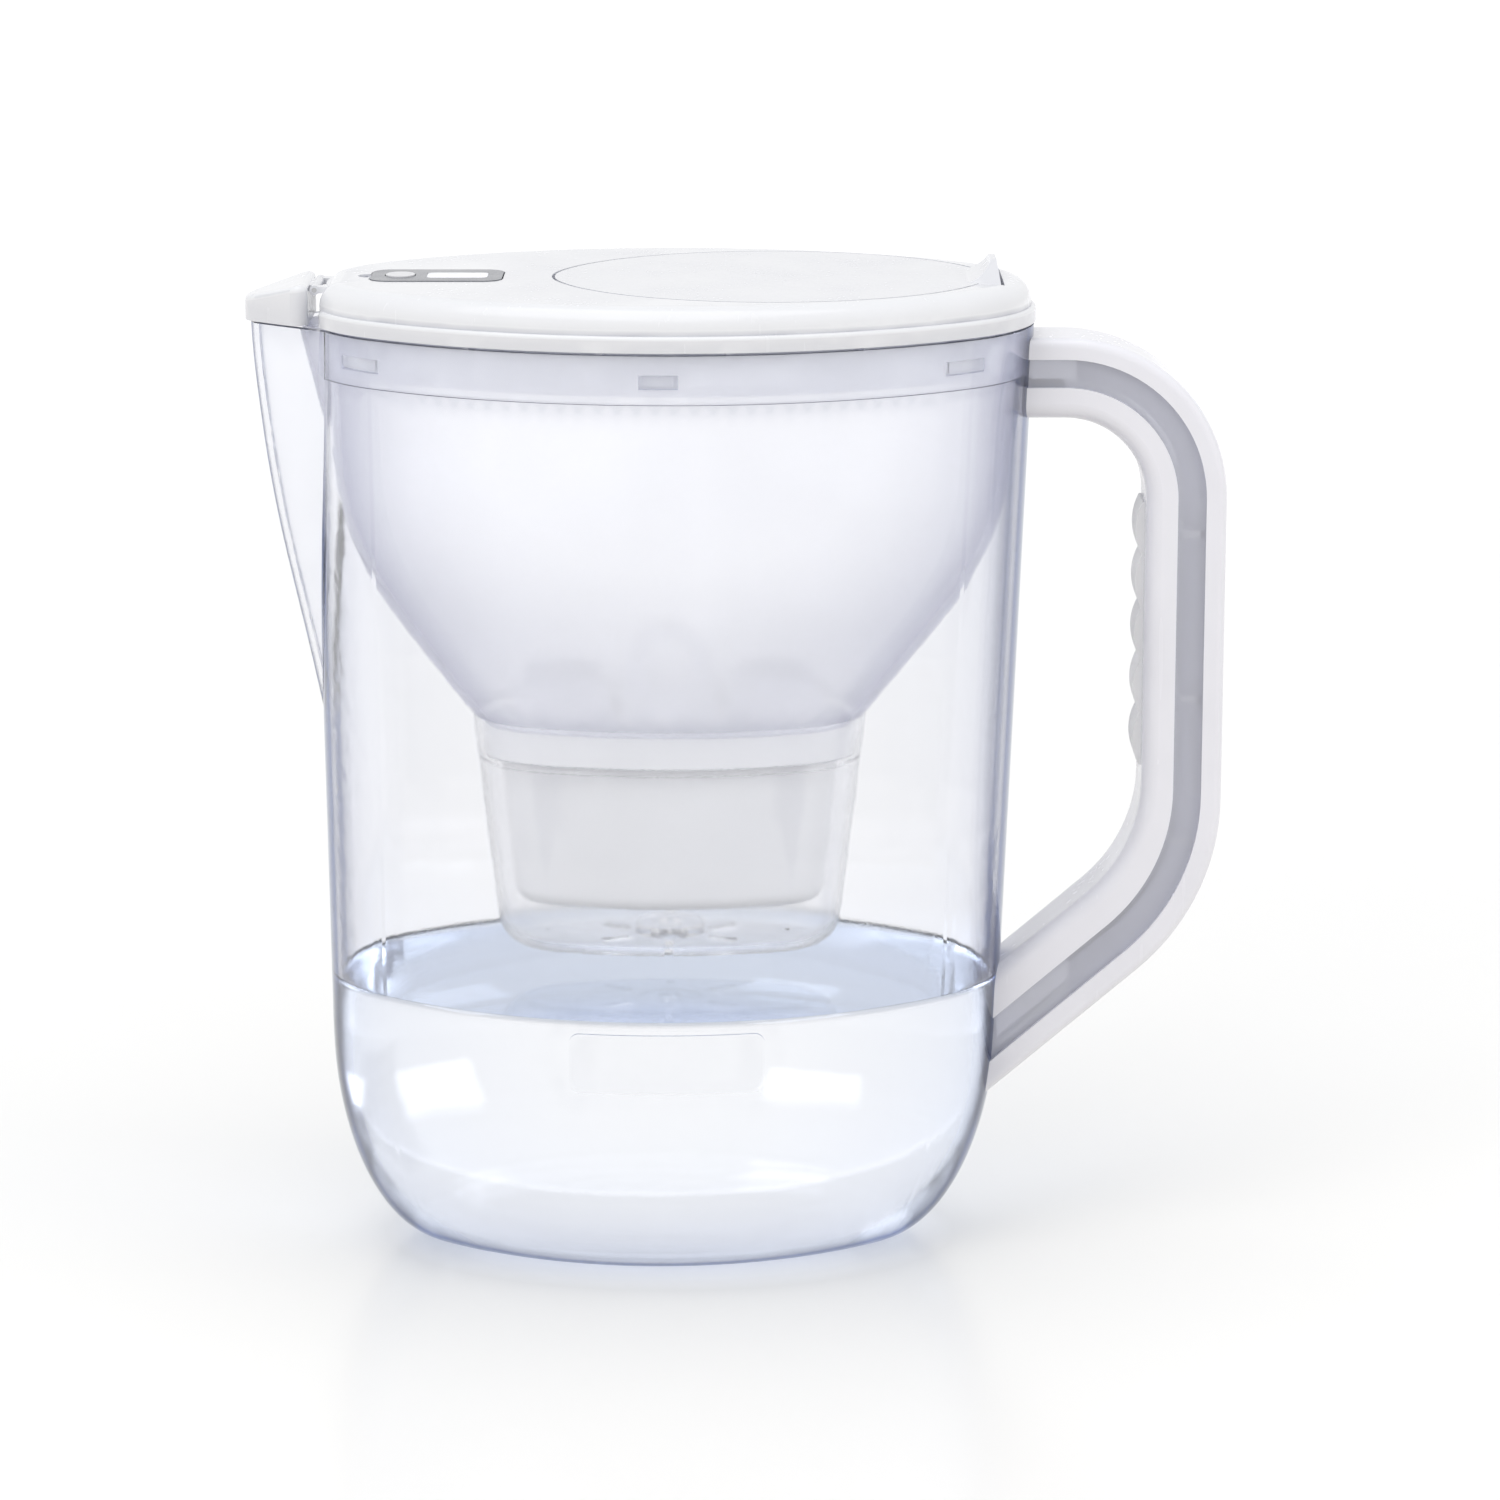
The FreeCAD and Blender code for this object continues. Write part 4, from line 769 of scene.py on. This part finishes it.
@dataclass
class WaterFill(Assembly):
    """Filtered water that stands in the jug."""

    level: float = 0.0815
    jug_height: float = 0.275
    mouth_half: tuple[float, float] = (0.1045, 0.071)
    foot_half: tuple[float, float] = (0.097, 0.065)
    shift: tuple[float, float] = (-0.0024, 0.0015)
    wall: float = 0.0028
    floor: float = 0.0046
    foot_round: tuple[float, float] = (0.031, 0.064)
    end_share: float = 0.73
    sink: float = 0.0002
    meniscus: float = 0.0011
    meniscus_reach: float = 0.004
    meniscus_power: int = 3
    meniscus_steps: int = 7
    foot_steps: int = 18
    wall_steps: int = 8
    round_steps: int = 160
    # The water's blue slope and edge colours are painted reflection.
    finish: ClearMoulding = ClearMoulding(
        "water", (0.985, 0.991, 1.0), (0.82, 0.90, 1.0), (0.14, 0.32, 0.75), Polish.MIRROR,
        (0.80, 0.85, 0.94), ior=1.33, marks=0.0, wave_depth=0.00001, slope_at=0.60, edge_at=0.93,
        tint_turns=8.0)

    def ring(self, z: float, inset: float) -> list[Vector]:
        """Points round the jug's inside.

        Args:
            z: the ring's height.
            inset: how far it lies inside the jug's outer oval.

        Returns:
            The ring's points.
        """
        share = z / self.jug_height
        ends = zip(self.foot_half, self.mouth_half)
        half_length, half_depth = (foot + (mouth - foot) * share for foot, mouth in ends)
        end_radius = self.end_share * half_depth - inset
        half_length, half_depth = half_length - inset, half_depth - inset
        centre = half_length - end_radius
        side_radius = (centre ** 2 + half_depth ** 2 - end_radius ** 2) / (2.0 * (half_depth - end_radius))
        middle = self.shift[0] + (self.shift[1] - self.shift[0]) * share
        points = []
        for step in range(self.round_steps):
            turn = 2.0 * math.pi * step / self.round_steps
            point = self.on_oval(turn, centre, end_radius, side_radius, half_depth)
            points.append(point + Vector((middle, 0.0, z)))
        return points

    def on_oval(self, turn: float, centre: float, end_radius: float, side_radius: float,
                half_depth: float) -> Vector:
        """Finds the point of a four-arc oval whose normal has a given direction.

        Args:
            turn: the normal's direction.
            centre: the end arcs' distance from the middle.
            end_radius: the end arcs' radius.
            side_radius: the side arcs' radius.
            half_depth: half the oval's depth.

        Returns:
            The point, about the oval's middle.
        """
        out = Vector((math.cos(turn), math.sin(turn), 0.0))
        side_drop = side_radius - half_depth
        join = math.atan2(side_drop, centre)
        if abs(out.y) < math.sin(join):
            return Vector((math.copysign(centre, out.x), 0.0, 0.0)) + out * end_radius
        return Vector((0.0, -math.copysign(side_drop, out.y), 0.0)) + out * side_radius

    def profile(self) -> list[tuple[float, float]]:
        """Heights and insets of the rings from the floor up to the surface.

        Returns:
            Pairs of height and inset.
        """
        low = self.floor - self.sink
        reach, rise = self.foot_round[0] - self.wall, self.foot_round[1] - low
        rows = []
        for step in range(self.foot_steps + 1):
            angle = 0.5 * math.pi * step / self.foot_steps
            z = low + rise * (1.0 - math.cos(angle))
            rows.append((z, self.wall + reach * (1.0 - math.sin(angle))))
        start, top = self.foot_round[1], self.level + self.meniscus
        for step in range(1, self.wall_steps + 1):
            rows.append((start + (top - start) * step / self.wall_steps, self.wall))
        return [(z, inset - self.sink) for z, inset in rows]

    def surface(self) -> list[tuple[float, float]]:
        """Heights and insets of the rings that draw the surface and its climbing edge.

        Returns:
            Pairs of height and inset.
        """
        rows = []
        for step in range(1, self.meniscus_steps + 1):
            share = step / self.meniscus_steps
            climb = self.meniscus * (1.0 - share) ** self.meniscus_power
            rows.append((self.level + climb, self.wall - self.sink + self.meniscus_reach * share))
        return rows

    def build(self) -> None:
        """Builds the water and sets it in the jug."""
        mesh = bpy.data.meshes.new("water_fill")
        shape = bmesh.new()
        levels = self.profile() + self.surface()
        rows = [[shape.verts.new(point) for point in self.ring(z, inset)] for z, inset in levels]
        for low, high in zip(rows, rows[1:]):
            for i in range(self.round_steps):
                j = (i + 1) % self.round_steps
                shape.faces.new((low[i], low[j], high[j], high[i]))
        shape.faces.new(list(reversed(rows[0])))
        shape.faces.new(rows[-1])
        shape.to_mesh(mesh)
        shape.free()
        mesh.shade_smooth()
        mesh.materials.append(self.finish.make())
        piece = bpy.data.objects.new("water_fill", mesh)
        bpy.context.scene.collection.objects.link(piece)
        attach(piece, "jug")
        LOG.info("%s rides on the jug", piece.name)


@dataclass
class Studio:
    """Floor, backdrop light, lamps and camera."""

    camera_at: tuple[float, float, float] = (0.0238, -1.476, 0.484)
    camera_pitch: float = 77.16
    lens: float = 123.26
    sensor: float = 36.0
    floor_reach: float = 14.0
    floor_drop: float = 0.0004
    floor_paint: Colour = (0.90, 0.87, 0.82)
    floor_rough: float = 0.24
    floor_gloss: float = 0.55
    glow_near: Colour = (0.12, 0.14, 0.17)
    # glow_foot paints a pool of light on the floor under the foot, in place of light that the water would
    # gather there.
    glow_foot: Colour = (0.50, 0.53, 0.60)
    foot_half: tuple[float, float] = (0.097, 0.065)
    foot_reach: tuple[float, float] = (0.45, 0.88)
    glow_far: Colour = (0.46, 0.472, 0.50)
    glow_reach: tuple[float, float] = (0.0, 3.0)
    sky_ambient: float = 0.60
    light_turns: int = 32  # light crosses many walls of the jug, the funnel and the water
    # Each lamp: name, place, aim, size, watts, whether glossy pieces mirror it
    lamps: tuple = (
        ("top_softbox", (-0.15, -0.25, 1.45), (0.0, 0.0, 0.20), 1.3, 6.0, True),
        ("front_left_softbox", (-1.15, -1.25, 0.95), (0.0, 0.0, 0.16), 0.9, 6.6, False),
        ("right_softbox", (1.35, -0.55, 0.65), (0.0, 0.0, 0.16), 0.8, 4.4, False),
    )

    def build(self) -> None:
        """Sets up the studio."""
        bpy.context.scene.view_settings.view_transform = "Standard"
        paths = bpy.context.scene.cycles
        paths.max_bounces = paths.transmission_bounces = paths.glossy_bounces = self.light_turns
        self.lay_floor()
        self.light_sky()
        for lamp in self.lamps:
            self.hang_lamp(*lamp)
        self.place_camera()

    def seen(self, sheet: NodeSheet) -> Socket:
        """Mask of the rays that show the background.

        Args:
            sheet: the node sheet to add to.

        Returns:
            The mask's socket.
        """
        path = sheet.add("LightPath")
        bent = sheet.maths("MAXIMUM", path.outputs["Is Glossy Ray"], path.outputs["Is Transmission Ray"])
        return sheet.maths("MAXIMUM", path.outputs["Is Camera Ray"], bent)

    def reach(self, sheet: NodeSheet, half_length: float, half_depth: float) -> Socket:
        """Distance from the middle of the floor, in shares of an oval.

        Args:
            sheet: the node sheet to add to.
            half_length: half the oval's length.
            half_depth: half the oval's depth.

        Returns:
            The distance's socket, 1 on the oval.
        """
        scaled = sheet.add("VectorMath", operation="MULTIPLY")
        scaled.inputs[1].default_value = (1.0 / half_length, 1.0 / half_depth, 1.0)
        sheet.join(sheet.add("TexCoord").outputs["Object"], scaled.inputs[0])
        length = sheet.add("VectorMath", operation="LENGTH")
        sheet.join(scaled.outputs[0], length.inputs[0])
        return length.outputs["Value"]

    def lay_floor(self) -> None:
        """Lays a pale floor that keeps the shadow, with a painted pool of light under the jug's foot."""
        reach = self.floor_reach
        mesh = bpy.data.meshes.new("floor")
        corners = [(x * reach, y * reach, -self.floor_drop) for x, y in ((-1, -1), (1, -1), (1, 1), (-1, 1))]
        mesh.from_pydata(corners, [], [(0, 1, 2, 3)])
        floor = bpy.data.objects.new("floor", mesh)
        bpy.context.scene.collection.objects.link(floor)
        sheet = MaterialSheet("floor_paper")
        sheet.set("Base Color", self.floor_paint)
        sheet.set("Roughness", self.floor_rough)
        sheet.set("Specular IOR Level", self.floor_gloss)
        away = sheet.spread(self.reach(sheet, 1.0, 1.0), 0.0, 1.0, *self.glow_reach)
        room = sheet.blend(away, self.glow_near, self.glow_far)
        # Painted pool of light: the floor glows brighter within the foot's oval.
        under = sheet.spread(self.reach(sheet, *self.foot_half), 0.0, 1.0, *self.foot_reach)
        sheet.set("Emission Color", sheet.blend(under, self.glow_foot, room))
        sheet.join(self.seen(sheet), sheet.shader.inputs["Emission Strength"])
        mesh.materials.append(sheet.material)

    def light_sky(self) -> None:
        """Fills the room with even light, white where it is seen."""
        world = bpy.data.worlds.new("studio")
        world.use_nodes = True
        bpy.context.scene.world = world
        sheet = NodeSheet(world.node_tree)
        back = world.node_tree.nodes["Background"]
        back.inputs[0].default_value = (1.0, 1.0, 1.0, 1.0)
        sheet.join(sheet.spread(self.seen(sheet), self.sky_ambient, 1.0), back.inputs[1])

    def hang_lamp(self, name: str, place: tuple, aim: tuple, size: float, watts: float,
                  mirrored: bool) -> None:
        """Hangs one soft lamp.

        Args:
            name: the lamp's name.
            place: where it hangs.
            aim: where it points.
            size: its side.
            watts: its power.
            mirrored: whether glossy pieces show its reflection.
        """
        data = bpy.data.lights.new(name, "AREA")
        data.energy = watts
        data.size = size
        lamp = bpy.data.objects.new(name, data)
        lamp.visible_glossy = mirrored
        lamp.location = place
        lamp.rotation_euler = (Vector(aim) - Vector(place)).to_track_quat("-Z", "Y").to_euler()
        bpy.context.scene.collection.objects.link(lamp)

    def place_camera(self) -> None:
        """Sets the camera at the photograph's viewing angle."""
        data = bpy.data.cameras.new("camera")
        data.lens = self.lens
        data.sensor_width = self.sensor
        camera = bpy.data.objects.new("camera", data)
        camera.location = self.camera_at
        camera.rotation_euler = (math.radians(self.camera_pitch), 0.0, 0.0)
        bpy.context.scene.collection.objects.link(camera)
        bpy.context.scene.camera = camera


def main() -> None:
    """Builds the pitcher's looks and its studio, in order."""
    logging.basicConfig(level=logging.INFO, format="%(name)s: %(message)s")
    Studio().build()
    for kind in (JugShape, HandleShape, FunnelShape, CartridgeShape, LidShape, IndicatorShape, WaterFill):
        kind().build()


if __name__ == "__main__":
    main()
